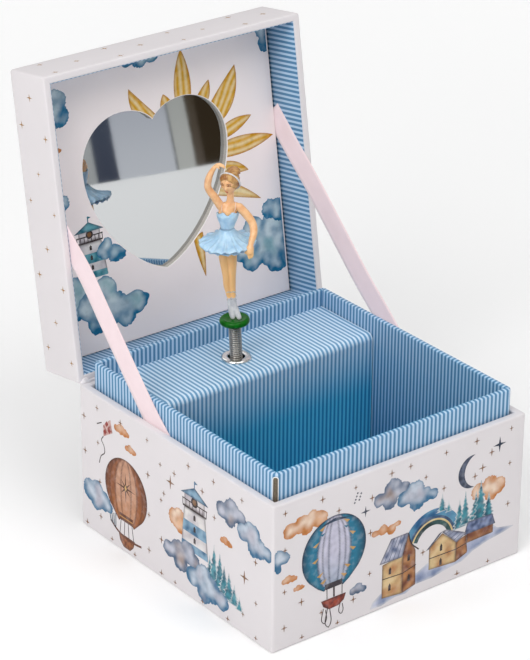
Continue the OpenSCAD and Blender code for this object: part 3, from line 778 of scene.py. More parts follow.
def run_group(name, g, values, points):
    """Runs a node tree on an empty mesh and returns the plain mesh object, its points moved by points()."""
    o = bpy.data.objects.new(name, bpy.data.meshes.new(name))
    bpy.context.collection.objects.link(o)
    mod = o.modifiers.new("make", "NODES")
    mod.node_group = g
    for item in g.interface.items_tree:
        if item.item_type == "SOCKET" and item.in_out == "INPUT" and item.name in values:
            mod[item.identifier] = values[item.name]
    apply(o)
    co = np.empty(len(o.data.vertices) * 3)
    o.data.vertices.foreach_get("co", co)
    co = points(co.reshape(-1, 3) / MM) * MM
    o.data.vertices.foreach_set("co", co.ravel())
    o.data.update()
    return o


def coil_spring():
    """The figure's close-wound spring, made by a node tree."""
    g, gin, gout = node_group("coil", (("Turns", "NodeSocketFloat"), ("Radius", "NodeSocketFloat"),
                                       ("Height", "NodeSocketFloat"), ("Wire", "NodeSocketFloat")))
    link = g.links.new
    spiral = g.nodes.new("GeometryNodeCurveSpiral")
    spiral.inputs["Resolution"].default_value = 24
    link(gin.outputs["Turns"], spiral.inputs["Rotations"])
    link(gin.outputs["Radius"], spiral.inputs["Start Radius"])
    link(gin.outputs["Radius"], spiral.inputs["End Radius"])
    link(gin.outputs["Height"], spiral.inputs["Height"])
    round_wire = g.nodes.new("GeometryNodeCurvePrimitiveCircle")
    round_wire.inputs["Resolution"].default_value = 10
    link(gin.outputs["Wire"], round_wire.inputs["Radius"])
    swept = g.nodes.new("GeometryNodeCurveToMesh")
    swept.inputs["Fill Caps"].default_value = True
    link(spiral.outputs[0], swept.inputs["Curve"])
    link(round_wire.outputs[0], swept.inputs["Profile Curve"])
    real = g.nodes.new("GeometryNodeRealizeInstances")
    link(swept.outputs[0], real.inputs[0])
    paint = g.nodes.new("GeometryNodeSetMaterial")
    paint.inputs["Material"].default_value = M["nickel_wire"]
    link(real.outputs[0], paint.inputs[0])
    link(paint.outputs[0], gout.inputs[0])
    o = run_group("coil_spring", g, {"Turns": TURNS, "Radius": SPRING_R * MM,
                                     "Height": (SPRING - 0.95) * MM, "Wire": 0.34 * MM},
                  lambda p: on_axis(p + (0, 0, 0.25)))
    o.data.polygons.foreach_set("use_smooth", [True] * len(o.data.polygons))
    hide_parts("figure_spring")
    tuple(on_axis((0, 0, 1))[0] * MM)
    tuple(on_axis((0, 0, 14))[0] * MM)
    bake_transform(o)


def stand_disc():
    """The green disc under the figure, with the plug that fills the spring's end."""
    v, f = lathe([(0, -2.4), (1.15, -2.4), (1.15, 0), (2.6, 0), (3.3, -0.45)]
                 + arc(4.1, 0.7, 1.3, -90, 75, 12)
                 + [(3.9, 1.75), (2.9, 1.5), (1.6, 1.35), (0, 1.35)], 64)
    o = piece("figure_stand_disc", on_axis(v + (0, 0, STAND)), f, "green", "figure", "green_plastic")
    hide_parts("figure_stand")


def eyelet():
    """The nickel eyelet in the platform."""
    v, f = lathe([(3.0, -2.6), (3.0, 0.2)] + arc(3.5, 0.45, 0.5, 180, 90, 6)
                 + arc(4.75, 0.2, 0.75, 90, 0, 8)
                 + [(5.5, 0.02), (3.9, 0.02), (3.9, -2.0), (4.7, -2.0), (4.7, -2.6), (3.0, -2.6)], 72)
    o = piece("platform_eyelet", v + (FOOT[0], FOOT[1], PLATFORM), f, "nickel", "case", "nickel")
    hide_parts("spindle_eyelet")


def bones(*paths, sides=16, step=0.5, flat=1.0):
    """Round limbs through given (x, y, z, radius) points, with ball ends."""
    parts = []
    for path in paths:
        p = smooth_path(path, max(6, int(lengths(np.array(path)[:, :3])[-1] / step)))
        parts.append(tube(p[:, :3], p[:, 3], sides, squash=(1, flat), up=(0, 1, 0.01)))
        for end, way in ((0, -1), (-1, 1)):
            d = p[end, :3] - p[end - way, :3]
            d /= np.linalg.norm(d)
            ball = [p[end, :3] + d * p[end, 3] * s for s in (0.35, 0.65, 0.88, 0.98)]
            ball = np.array([p[end, :3] - d * 0.05] + ball)
            r = p[end, 3] * np.sqrt(1 - np.array([0, 0.35, 0.65, 0.88, 0.98]) ** 2)
            parts.append(tube(ball, r, sides, squash=(1, flat), up=(0, 1, 0.01)))
    return merge(*parts)


HEAD = np.array((0.35, -0.4, 51.7))
HEAD_DEEP, HEAD_WIDE, CHIN, CROWN = 3.35, 2.95, 4.35, 3.9
JAW = 0.42          # how much narrower the head is at the chin
YAW, NOD = radians(26), radians(7)
F_OUT = np.array((-sin(YAW) * cos(NOD), -cos(YAW) * cos(NOD), -sin(NOD)))
F_SIDE = np.array((cos(YAW), -sin(YAW), 0))
F_UP = np.cross(F_SIDE, -F_OUT) * (1 if np.cross(F_SIDE, -F_OUT)[2] > 0 else -1)


def head_shape(out, side, up):
    """Moves unit directions onto the head's surface: points as (out, side, up) in mm."""
    low = np.clip(-up, 0, 1)
    o = out * HEAD_DEEP * (1 - 0.10 * low)
    s = side * HEAD_WIDE * (1 - JAW * low ** 1.4)
    u = up * np.where(up < 0, CHIN, CROWN)
    front = np.clip(out, 0, 1) ** 2

    def bump(cs, cu, ws, wu):
        return np.exp(-((s - cs) / ws) ** 2 - ((u - cu) / wu) ** 2) * front

    o = o + 0.62 * bump(0, -0.95, 0.42, 0.75) + 0.28 * bump(0, 0.1, 0.3, 0.8)
    o = o - 0.30 * (bump(1.15, 0.25, 0.7, 0.5) + bump(-1.15, 0.25, 0.7, 0.5))
    o = o + 0.22 * bump(0, -2.3, 0.7, 0.32) + 0.42 * bump(0, -3.6, 0.8, 0.7) + 0.12 * bump(0, 1.3, 2, 0.5)
    o = o + 0.16 * (bump(1.5, -1.3, 0.8, 0.8) + bump(-1.5, -1.3, 0.8, 0.8))
    return o, s, u


def in_head(o, s, u):
    """Turns (out, side, up) of the head into places on the figure."""
    return HEAD + np.multiply.outer(o, F_OUT) + np.multiply.outer(s, F_SIDE) + np.multiply.outer(u, F_UP)


def ball_directions(rows, cols):
    """Unit directions over a ball, and its faces."""
    up, round_ = np.meshgrid(np.linspace(-pi / 2, pi / 2, rows)[1:-1],
                             np.linspace(0, 2 * pi, cols, endpoint=False), indexing="ij")
    d = np.column_stack([(np.cos(up) * np.cos(round_)).ravel(), (np.cos(up) * np.sin(round_)).ravel(),
                         np.sin(up).ravel()])
    d = np.concatenate([d, [(0, 0, -1), (0, 0, 1)]])
    n = rows - 2
    faces = [(i * cols + j, i * cols + (j + 1) % cols, (i + 1) * cols + (j + 1) % cols, (i + 1) * cols + j)
             for i in range(n - 1) for j in range(cols)]
    faces += [(n * cols, (j + 1) % cols, j) for j in range(cols)]
    faces += [(n * cols + 1, (n - 1) * cols + j, (n - 1) * cols + (j + 1) % cols) for j in range(cols)]
    return d, faces


def two_layers(rows, cols):
    """Faces of a closed round shell, its outer layer's points first and its inner layer's after them."""
    n = rows * cols
    faces = []
    for i in range(rows - 1):
        for j in range(cols):
            a, b = i * cols + j, i * cols + (j + 1) % cols
            faces += [(a, b, b + cols, a + cols), (n + a + cols, n + b + cols, n + b, n + a)]
    top = (rows - 1) * cols
    for j in range(cols):
        q = (j + 1) % cols
        faces += [(top + j, top + q, n + top + q, n + top + j), (n + j, n + q, q, j)]
    return faces


def fused(name, mesh, finish, voxel=0.17):
    """Joins overlapping closed parts into one skin."""
    v, f = mesh
    o = piece(name, on_axis(v + (0, 0, SOLE)), f, finish, None, "figure_plastic")
    mod = o.modifiers.new("skin", "REMESH")
    mod.mode, mod.voxel_size = "VOXEL", voxel * MM
    mod.use_smooth_shade = True
    soft = o.modifiers.new("soft", "SMOOTH")
    soft.iterations, soft.factor = 4, 0.5
    apply(o)
    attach(o, "figure")
    return o


def on_figure(name, mesh, finish):
    """A piece of the dancer from places on the figure, which start at its soles."""
    v, f = mesh
    return piece(name, on_axis(v + (0, 0, SOLE)), f, finish, "figure", "figure_plastic")


def dancer_skin():
    """Head, body, arms and legs as one skin."""
    d, ball = ball_directions(48, 64)
    head = (in_head(*head_shape(*d.T)), ball)
    torso = bones([(-1.3, 0, 29.5, 2.3), (-1.1, 0, 34.4, 1.8), (-0.9, 0, 38, 2.75), (-0.7, 0, 40.8, 3.2),
                   (-0.3, 0, 42.6, 2.3), (0.25, 0, 44.2, 1.45), (0.4, -0.2, 45.5, 1.25),
                   (0.42, -0.4, 48.5, 1.3)],
                  sides=24, flat=0.78)
    rest = bones(
        [(-3.0, 0.2, 42.5, 1.25), (-1.5, 0, 43.1, 1.2), (0.5, 0, 43.2, 1.25), (2.0, 0, 42.9, 1.2),
         (3.4, 0.1, 42.2, 1.3)],
        [(-3.0, 0.1, 42.6, 1.5), (-5.0, -0.2, 46.3, 1.45), (-7.15, -0.6, 50.4, 1.28),
         (-6.7, -0.8, 53.6, 1.22), (-5.3, -1.0, 56.6, 0.9), (-4.5, -1.1, 57.8, 0.78)],
        [(3.4, 0, 42.2, 1.5), (5.6, -0.5, 39.7, 1.5), (7.8, -1.6, 36.3, 1.4), (8.0, -3.4, 33.8, 1.34),
         (7.1, -5.4, 31.2, 1.05), (6.9, -5.8, 30.5, 0.95)],
        [(-2.95, 0, 30, 2.25), (-2.85, 0, 26, 2.0), (-2.55, 0, 21, 1.68), (-2.2, -0.25, 16.5, 1.36),
         (-2.1, 0.2, 12.8, 1.32), (-1.65, 0.1, 9, 0.95), (-1.4, 0, 5.5, 0.8)],
        [(0.1, 0, 30, 2.25), (0.0, 0, 26, 2.0), (0.0, 0, 21, 1.66), (-0.15, -0.2, 16.5, 1.34),
         (-0.3, 0.35, 12.8, 1.3), (-0.1, 0.1, 9, 0.92), (0.0, 0, 5.5, 0.8)])
    hands = bones(
        [(-4.5, -1.1, 57.8, 0.62), (-3.6, -1.2, 58.5, 0.78), (-2.6, -1.4, 58.75, 0.7)],
        [(-2.8, -1.3, 58.95, 0.36), (-1.7, -1.6, 58.75, 0.32), (-0.9, -1.8, 58.1, 0.24)],
        [(-2.8, -1.6, 58.5, 0.36), (-1.7, -2.0, 58.25, 0.32), (-1.1, -2.1, 57.7, 0.25)],
        [(-3.6, -1.7, 58.2, 0.32), (-2.9, -2.1, 57.6, 0.26)],
        [(6.9, -5.8, 30.5, 0.95), (6.6, -6.2, 29.4, 1.4), (6.4, -6.5, 28.2, 1.5)],
        [(7.2, -6.5, 28.0, 0.66), (7.2, -6.9, 26.9, 0.56), (7.0, -7.1, 26.3, 0.42)],
        [(6.3, -6.7, 27.8, 0.7), (6.2, -7.1, 26.7, 0.6), (6.2, -7.2, 26.1, 0.44)],
        [(5.7, -6.2, 29.0, 0.56), (5.0, -6.5, 27.9, 0.46)], sides=12, step=0.3)
    o = fused("dancer_skin", merge(head, torso, rest, hands), "skin")
    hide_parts("ballerina")


def hair():
    """Combed hair with a parting, and a bun."""
    d, ball = ball_directions(56, 96)
    out, side, up = d.T
    part = np.abs(side)
    strand = np.sin(34 * np.arctan2(up + 0.35, part + 0.15) + 5 * out) * 0.07
    wave = 0.12 * np.sin(9 * up + 6 * part)
    grow = 1 + (strand + wave) / 3.4
    o = out * 3.45 * grow - 0.42 + 0.5 * np.clip(up, 0, 1) * np.clip(out, 0, 1)
    s = side * 3.4 * grow
    u = up * 3.7 * grow + 0.55
    cap = (in_head(o, s, u), ball)
    d, ball = ball_directions(28, 48)
    out, side, up = d.T
    turn = np.arctan2(side, up)
    coil = 1 + 0.07 * np.sin(5 * turn + 9 * out)
    bun = (in_head(out * 2.0 * coil - 2.1, side * 2.35 * coil + 0.9, up * 1.75 * coil + 3.35), ball)
    on_figure("dancer_hair", merge(cap, bun), "hair")


def hair_band():
    """A row of small pearls over the hair."""
    t = np.linspace(0, 2 * pi, 145)[:-1]
    lean = radians(20)
    path = in_head(3.95 * np.cos(t) * sin(lean) - 0.5, 3.62 * np.sin(t), 3.95 * np.cos(t) * cos(lean) + 0.4)
    radii = 0.34 * (1 + 0.20 * np.sin(t * 36))
    v, f = tube(np.vstack([path, path[:1]]), np.append(radii, radii[0]), 10, squash=(1, 0.8))
    on_figure("dancer_hair_band", (v, f), "pearl")


def bodice():
    """The dress's top with a shaped neckline, and its straps."""
    rows, cols = 26, 72
    heights = np.array([33.2, 34.4, 36, 38, 39.5, 41.2])
    radii = np.array([2.3, 2.12, 2.5, 3.35, 3.8, 3.75])
    middle = np.array([-1.15, -1.1, -1.0, -0.85, -0.8, -0.65])

    def surface(grow):
        out = []
        for i in range(rows):
            for j in range(cols):
                a = 2 * pi * j / cols
                front = max(0, -sin(a))
                x = cos(a)
                cups = exp(-((abs(x) - 0.5) / 0.26) ** 2)
                top = 40.5 + front * (1.0 * cups - 0.35 * exp(-(x / 0.22) ** 2)) - 0.9 * max(0, sin(a))
                z = 33.2 + (top - 33.2) * i / (rows - 1)
                r = np.interp(z, heights, radii) + grow
                r += 0.45 * front * cups * exp(-((z - 39.4) / 1.1) ** 2)
                r += 0.06 * sin(5 * a * 3) * exp(-((z - top + 0.35) / 0.3) ** 2)
                out.append((np.interp(z, heights, middle) + r * x, r * 0.8 * sin(a), z))
        return out

    verts = surface(0.12) + surface(-0.45)
    on_figure("dancer_bodice", (np.array(verts), two_layers(rows, cols)), "dress")
    straps = bones([(-2.6, -2.25, 41.4, 0.13), (-2.7, -1.5, 43.0, 0.13), (-2.3, -0.2, 44.25, 0.13),
                    (-2.0, 1.35, 43.2, 0.13), (-1.9, 2.25, 40.6, 0.13)],
                   [(1.6, -2.25, 41.4, 0.13), (2.1, -1.55, 42.9, 0.13), (2.0, -0.2, 44.2, 0.13),
                    (1.5, 1.35, 43.2, 0.13), (1.0, 2.25, 40.6, 0.13)], sides=8)
    on_figure("dancer_straps", straps, "strap")


def tutu():
    """Two pleated, wavy layers of stiff skirt."""
    rows, cols, pleats = 22, 216, 19

    def layer(reach, drop, seed):
        out = []
        for side in (1, -1):
            for i in range(rows):
                t = i / (rows - 1)
                for j in range(cols):
                    a = 2 * pi * j / cols
                    soft = noise.noise(Vector((cos(a) * 1.5, sin(a) * 1.5, seed)))
                    fold = sin(pleats * a + 1.6 * soft + seed) + 0.45 * sin(31 * a + seed * 2)
                    r = 2.35 + (reach + 0.35 * soft + 0.16 * fold * t - 2.35) * t
                    z = 34.5 - drop * (1 - exp(-(r - 2.35) / 2.3)) - 0.14 * (r - 2.35)
                    z += (0.34 * fold + 0.5 * soft) * t ** 1.4 - 0.45 * max(0, t - 0.86) * 7
                    out.append((-1.25 + r * cos(a), r * sin(a), z + side * 0.14))
        return np.array(out), two_layers(rows, cols)

    on_figure("dancer_tutu", merge(layer(9.95, 3.9, 1.3), layer(9.2, 5.0, 4.1)), "dress")


def shoes():
    """Pointe shoes and their crossed ties."""
    feet = bones([(-1.45, 0, 7.6, 0.9), (-1.3, -0.1, 5.2, 0.92), (-0.9, -0.45, 2.6, 1.1),
                  (-0.55, -0.9, 0.9, 0.95)],
                 [(0.0, 0, 7.6, 0.9), (0.2, -0.2, 5.2, 0.92), (0.9, -0.8, 2.6, 1.08),
                  (1.7, -1.6, 0.9, 0.85)])
    fused("dancer_shoes", feet, "pearl", 0.15)
    ties = []
    for x0, x1 in ((-1.65, -1.45), (-0.08, 0.0)):
        for way in (1, -1):
            t = np.linspace(0, 1, 26)
            a = way * (t * 2.6 * pi) - pi / 2
            ties.append(tube(np.column_stack([x0 + (x1 - x0) * t + 0.97 * np.cos(a),
                                              0.05 + 0.97 * np.sin(a), 10.6 - 3.6 * t]),
                             0.15, 6))
    on_figure("dancer_shoe_ties", merge(*ties), "pearl")


coil_spring()
eyelet()
stand_disc()
dancer_skin()
hair()
hair_band()
bodice()
tutu()
shoes()


# ------------------------------------------------------------------ printed pictures

def spaced(outline, step):
    """Closed outline cut into even short lengths."""
    p = np.asarray(outline, float)
    p = np.vstack([p, p[:1]])
    t = lengths(p)
    n = max(4, int(t[-1] / step))
    s = np.linspace(0, t[-1], n, endpoint=False)
    return np.column_stack([np.interp(s, t, p[:, 0]), np.interp(s, t, p[:, 1])])


def inside(p, loop):
    """Which points lie inside a closed line."""
    x, y = p[:, :1], p[:, 1:2]
    a, b = loop, np.roll(loop, -1, 0)
    up = (a[:, 1] > y) != (b[:, 1] > y)
    with np.errstate(divide="ignore", invalid="ignore"):
        cross = x < (b[:, 0] - a[:, 0]) * (y - a[:, 1]) / (b[:, 1] - a[:, 1]) + a[:, 0]
    return (up & cross).sum(1) % 2 == 1


def from_edge(p, loop):
    """How far each point is from a closed line."""
    a, b = loop, np.roll(loop, -1, 0)
    d = b - a
    k = np.clip(((p[:, None] - a) * d).sum(2) / np.maximum((d * d).sum(1), 1e-12), 0, 1)
    return np.linalg.norm(p[:, None] - (a + k[..., None] * d), axis=2).min(1)


def onto_edge(p, loop):
    """The nearest place on a closed line."""
    a = loop
    d = np.roll(loop, -1, 0) - a
    t = np.clip(((p - a) * d).sum(1) / np.maximum((d * d).sum(1), 1e-12), 0, 1)
    q = a + d * t[:, None]
    return q[np.argmin(((q - p) ** 2).sum(1))]


def cloud_line(puffs, wobble=0.25, seed=0.0):
    """The outline round a group of discs (x, y, radius), seen from their middle."""
    puffs = np.array(puffs, float)
    c = (puffs[:, :2] * puffs[:, 2:] ** 2).sum(0) / (puffs[:, 2] ** 2).sum()
    out = []
    for a in np.linspace(0, 2 * pi, 240, endpoint=False):
        d = np.array((cos(a), sin(a)))
        p = puffs[:, :2] - c
        along = p @ d
        k = puffs[:, 2] ** 2 - (p ** 2).sum(1) + along ** 2
        r = np.where(k > 0, along + np.sqrt(np.maximum(k, 0)), 0).max()
        ruffle = abs(noise.noise(Vector((cos(a) * 6.5, sin(a) * 6.5, seed)))) ** 0.5
        out.append(c + d * (r + wobble * noise.noise(Vector((cos(a) * 4, sin(a) * 4, seed)))
                            + wobble * 3 * ruffle))
    return np.array(out)


def mixed(a, b, t):
    """From colour a to colour b, by a share t at each point. Either may be one colour for all."""
    return np.asarray(a) * (1 - np.asarray(t)[:, None]) + np.asarray(b) * np.asarray(t)[:, None]


def clouded(p, scale, seed):
    """Soft noise from 0 to 1 at each point."""
    return np.array([noise.noise(Vector((x * scale, y * scale, seed))) for x, y in p]) * 0.5 + 0.5


PAPER = ink(232, 230, 231)


def wash(light, deep, rim=None, scale=0.22, seed=0.0, soft=0.0):
    """Watercolour: light to deep in patches, darker at the rim, or fading out over the soft width."""
    def colour(p, edge):
        c = mixed(light, deep, np.clip((clouded(p, scale, seed) - 0.32) * 2.4, 0, 1))
        if rim is not None:
            c = mixed(c, rim, np.clip(1 - edge / 0.9, 0, 1) * 0.7)
        if soft:
            k = np.clip(1 - edge / soft, 0, 1) * (0.35 + 0.65 * clouded(p, 0.35, seed + 7))
            c = mixed(c, PAPER, k)
        return c

    return colour


INK_LIFT, LAYER_LIFT = 0.02, 0.0008


class Picture:
    """Gathers printed shapes on one face. place(a, b, h) gives points from places on it and heights."""

    def __init__(self, place, limits):
        self.place, self.limits = place, limits
        self.verts, self.faces, self.colours, self.count = [], [], [], 0
        self.layer = 0
        self.hole = None

    def add(self, pts, tris, colours):
        """A thin closed patch from flat points and triangles, kept out of the hole."""
        if self.hole is not None:
            pts = np.array(pts, float)
            for i in np.flatnonzero(inside(pts, self.hole)):
                pts[i] = onto_edge(pts[i], self.hole)
            tris = [t for t in tris if np.cross(pts[t[1]] - pts[t[0]], pts[t[2]] - pts[t[0]]) > 1e-5]
        self.layer += 1
        h = INK_LIFT + LAYER_LIFT * self.layer
        n = len(pts)
        k = self.count
        self.verts += [self.place(pts[:, 0], pts[:, 1], h), self.place(pts[:, 0], pts[:, 1], -INK_LIFT)]
        self.colours += [colours, colours]
        sides = {}
        for t in tris:
            self.faces.append((k + t[0], k + t[1], k + t[2]))
            self.faces.append((k + n + t[2], k + n + t[1], k + n + t[0]))
            for i in range(3):
                e = (t[i], t[(i + 1) % 3])
                if (e[1], e[0]) in sides:
                    del sides[(e[1], e[0])]
                else:
                    sides[e] = 1
        for a, b in sides:
            self.faces.append((k + b, k + a, k + n + a, k + n + b))
        self.count += 2 * n

    def fill(self, outline, colour, step=0.9):
        low, high = np.array(self.limits[:2]), np.array(self.limits[2:])
        loop = spaced(np.clip(outline, low, high), step)
        keep = [i for i in range(len(loop)) if np.linalg.norm(loop[i] - loop[i - 1]) > step * 0.05]
        loop = loop[keep]
        a = loop.min(0)
        b = loop.max(0)
        gx, gy = np.meshgrid(np.arange(a[0], b[0], step), np.arange(a[1], b[1], step * 0.87))
        gx = gx + (np.arange(gx.shape[0]) % 2)[:, None] * step / 2
        grid = np.column_stack([gx.ravel(), gy.ravel()])
        if len(grid):
            grid = grid[inside(grid, loop)]
        if len(grid):
            grid = grid[from_edge(grid, loop) > step * 0.45]
        pts = np.vstack([loop, grid])
        n = len(loop)
        from_cdt = delaunay_2d_cdt([Vector(p) for p in pts], [(i, (i + 1) % n) for i in range(n)],
                                   [list(range(n))], 1, 1e-6)
        pts = np.array([tuple(v) for v in from_cdt[0]])
        tris = from_cdt[2]
        if not tris:
            return
        area = sum((pts[t[1]][0] - pts[t[0]][0]) * (pts[t[2]][1] - pts[t[0]][1])
                   - (pts[t[2]][0] - pts[t[0]][0]) * (pts[t[1]][1] - pts[t[0]][1]) for t in tris)
        if area < 0:
            tris = [t[::-1] for t in tris]
        self.add(pts, tris, colour(pts, from_edge(pts, loop)))

    def shape(self, outline, colour):
        """A small shape of one colour."""
        p = np.clip(np.array(outline, float), self.limits[:2], self.limits[2:])
        if sum(p[i - 1][0] * p[i][1] - p[i][0] * p[i - 1][1] for i in range(len(p))) < 0:
            p = p[::-1]
        tris = tessellate_polygon([[Vector((*q, 0)) for q in p]])
        tris = [t if np.cross(p[t[1]] - p[t[0]], p[t[2]] - p[t[0]]) > 0 else (t[0], t[2], t[1])
                for t in tris]
        self.add(p, tris, np.tile(colour, (len(p), 1)))

    def stroke(self, path, width, colour, smooth=True):
        p = smooth_path(path, 4 * len(path)) if smooth and len(path) > 2 else np.array(path, float)
        d = np.gradient(p, axis=0)
        d /= np.linalg.norm(d, axis=1)[:, None]
        w = np.asarray(width) / 2 * np.ones(len(p))
        n = np.column_stack([-d[:, 1], d[:, 0]]) * w[:, None]
        self.shape(np.vstack([p - n, (p + n)[::-1]]), colour)

    def star(self, x, y, r, colour, long=1.0, pinch=0.22):
        pts = []
        for k in range(8):
            q = r * (long if k in (2, 6) else 1) if k % 2 == 0 else r * pinch
            pts.append((x + q * cos(k * pi / 4), y + q * sin(k * pi / 4)))
        self.shape(pts, colour)

    def make(self, name, body):
        piece(name, np.vstack(self.verts), self.faces, "ink", body, "print_white", smooth=False,
              colours=np.vstack(self.colours))


BLUE_CLOUD = dict(light=ink(206, 216, 228), deep=ink(60, 112, 148), glow=ink(186, 182, 194))
GREY_CLOUD = dict(light=ink(200, 202, 214), deep=ink(70, 96, 126), glow=ink(164, 138, 120))
TEAL_CLOUD = dict(light=ink(216, 230, 234), deep=ink(22, 112, 152), glow=ink(150, 190, 196))
WARM_CLOUD = dict(light=ink(246, 224, 204), deep=ink(200, 132, 80), glow=ink(236, 190, 154))
GOLD, BROWN, NAVY, DARK = ink(168, 122, 56), ink(134, 96, 66), ink(38, 50, 72), ink(52, 38, 38)


def cloud(pic, puffs, kind, seed=0.0, size=1.0):
    """A ruffled watercolour cloud: pale at its top and middle, deep below and at its rim."""
    def colour(p, edge):
        low, high = p[:, 1].min(), p[:, 1].max()
        down = (high - p[:, 1]) / (high - low)
        near = np.clip(1 - edge / 2.4, 0, 1)
        t = np.clip(0.75 * down + 0.62 * near - 0.08 + 1.6 * (clouded(p, 0.3, seed) - 0.52), 0, 1)
        c = mixed(kind["light"], kind["deep"], t)
        warm = np.clip((clouded(p, 0.17, seed + 5) - 0.52) * 4, 0, 1) * (1 - near) * 0.75
        c = mixed(c, kind["glow"], warm)
        return mixed(c, kind["deep"], np.clip(1 - edge / 0.7, 0, 1) * 0.5)

    pic.fill(cloud_line(puffs, 0.32 * size, seed), colour, 0.7)


def little_stars(pic, places, r=1.3, colour=BROWN):
    for i, (x, y) in enumerate(places):
        pic.star(x, y, r * (0.85 + 0.15 * sin(i * 2.4)), colour, 1.15)


def wisp(pic, x, y, w, seed):
    """A small long orange cloud."""
    cloud(pic, [(x - w * 0.3, y, w * 0.14), (x - w * 0.05, y + w * 0.05, w * 0.2),
                (x + w * 0.2, y, w * 0.16), (x + w * 0.36, y - w * 0.02, w * 0.1)], WARM_CLOUD, seed, 0.5)


def crescent(x, y, r, shift, tip=80):
    """A moon open to the right: an arc, and a flatter arc back between its tips."""
    tx, ty = r * cos(radians(tip)), r * sin(radians(tip))
    inner, turn = hypot(tx - shift, ty), degrees(atan2(ty, tx - shift))
    out = [(x + r * cos(radians(a)), y + r * sin(radians(a))) for a in np.linspace(tip, 360 - tip, 26)]
    return np.array(out + [(x + shift + inner * cos(radians(a)), y + inner * sin(radians(a)))
                           for a in np.linspace(360 - turn, turn, 22)[1:-1]])


def balloon_line(x, y, r, neck, base):
    """A balloon's outline: a circle over a narrowing throat."""
    side = [(r * cos(radians(a)), r * sin(radians(a))) for a in range(90, -46, -6)]
    side += [(r * 0.5, -r * 0.9), (neck * 1.15, -r * 1.04), (neck, base - y)]
    return np.array([(x + a, y + b) for a, b in side] + [(x - a, y + b) for a, b in side[::-1]])


def gores(x, y, r, inner, outer, rim, low, lines, seed, seam=NAVY):
    """Colour of a balloon by its gores: pale in the middle, darker to the sides."""
    def colour(p, edge):
        half = np.sqrt(np.maximum(r * r - np.where(p[:, 1] > y, p[:, 1] - y,
                                                   (p[:, 1] - y) * 0.86) ** 2, 4.0))
        u = np.abs(p[:, 0] - x) / half
        c = mixed(inner, outer, np.clip((u - 0.46) / 0.1, 0, 1))
        c = mixed(c, rim, np.clip((u - 0.70) / 0.3, 0, 1) ** 1.2 * 0.85)
        c = mixed(c, low, np.clip((y - p[:, 1]) / r, 0, 1) * (0.25 + 0.35 * clouded(p, 0.25, seed)))
        line = np.zeros(len(p))
        for q in lines:
            line = np.maximum(line, np.clip(1 - np.abs(u - q) * half / 0.55, 0, 1))
        c = mixed(c, seam, line * 0.75)
        c = c * (0.84 + 0.3 * clouded(p, 0.5, seed))[:, None]
        return mixed(c, rim, np.clip(1 - edge / 0.8, 0, 1) * 0.8)

    return colour


def fir(pic, x, y, w, h, seed, tones):
    """A ragged fir tree."""
    left, right = [], []
    n = 7
    for i in range(n):
        z = y + h * (1 - i / n)
        reach = w / 2 * (i + 0.6) / n
        jag = 0.8 + 0.4 * noise.noise(Vector((i * 1.7, seed, 0)))
        right += [(x + reach * 0.45, z), (x + reach * jag * 1.25, z - h / n * 0.75)]
        left += [(x - reach * 0.45, z), (x - reach * (1.6 - jag) * 1.25, z - h / n * 0.8)]
    pic.fill(np.array([(x, y + h + 0.6)] + right + left[::-1]),
             wash(*tones, seed=seed, scale=0.5, soft=0.3), 0.6)


def house(pic, wall, side, roof, windows, floor_line, tones):
    """A house in two washes with a ribbed roof, dark windows and floor lines."""
    pic.fill(side, wash(tones[1], tones[2], rim=DARK, seed=3, scale=0.35), 0.6)
    pic.fill(wall, wash(tones[0], tones[1], rim=DARK, seed=5, scale=0.25), 0.6)
    pic.fill(roof, wash(ink(206, 208, 224), ink(96, 110, 142), rim=DARK, seed=8, scale=0.4), 0.6)
    r = np.array(roof, float)
    for t in (0.2, 0.4, 0.6, 0.8):
        pic.stroke([r[0] * (1 - t) + r[3] * t, r[1] * (1 - t) + r[2] * t], 0.24, ink(84, 92, 118), False)
    for x, y in windows:
        pic.shape([(x - 0.55, y - 1.4), (x + 0.55, y - 1.4), (x + 0.55, y + 0.5), (x, y + 1.5),
                   (x - 0.55, y + 0.5)], DARK)
    for line in floor_line:
        pic.stroke(line, 0.35, DARK, False)


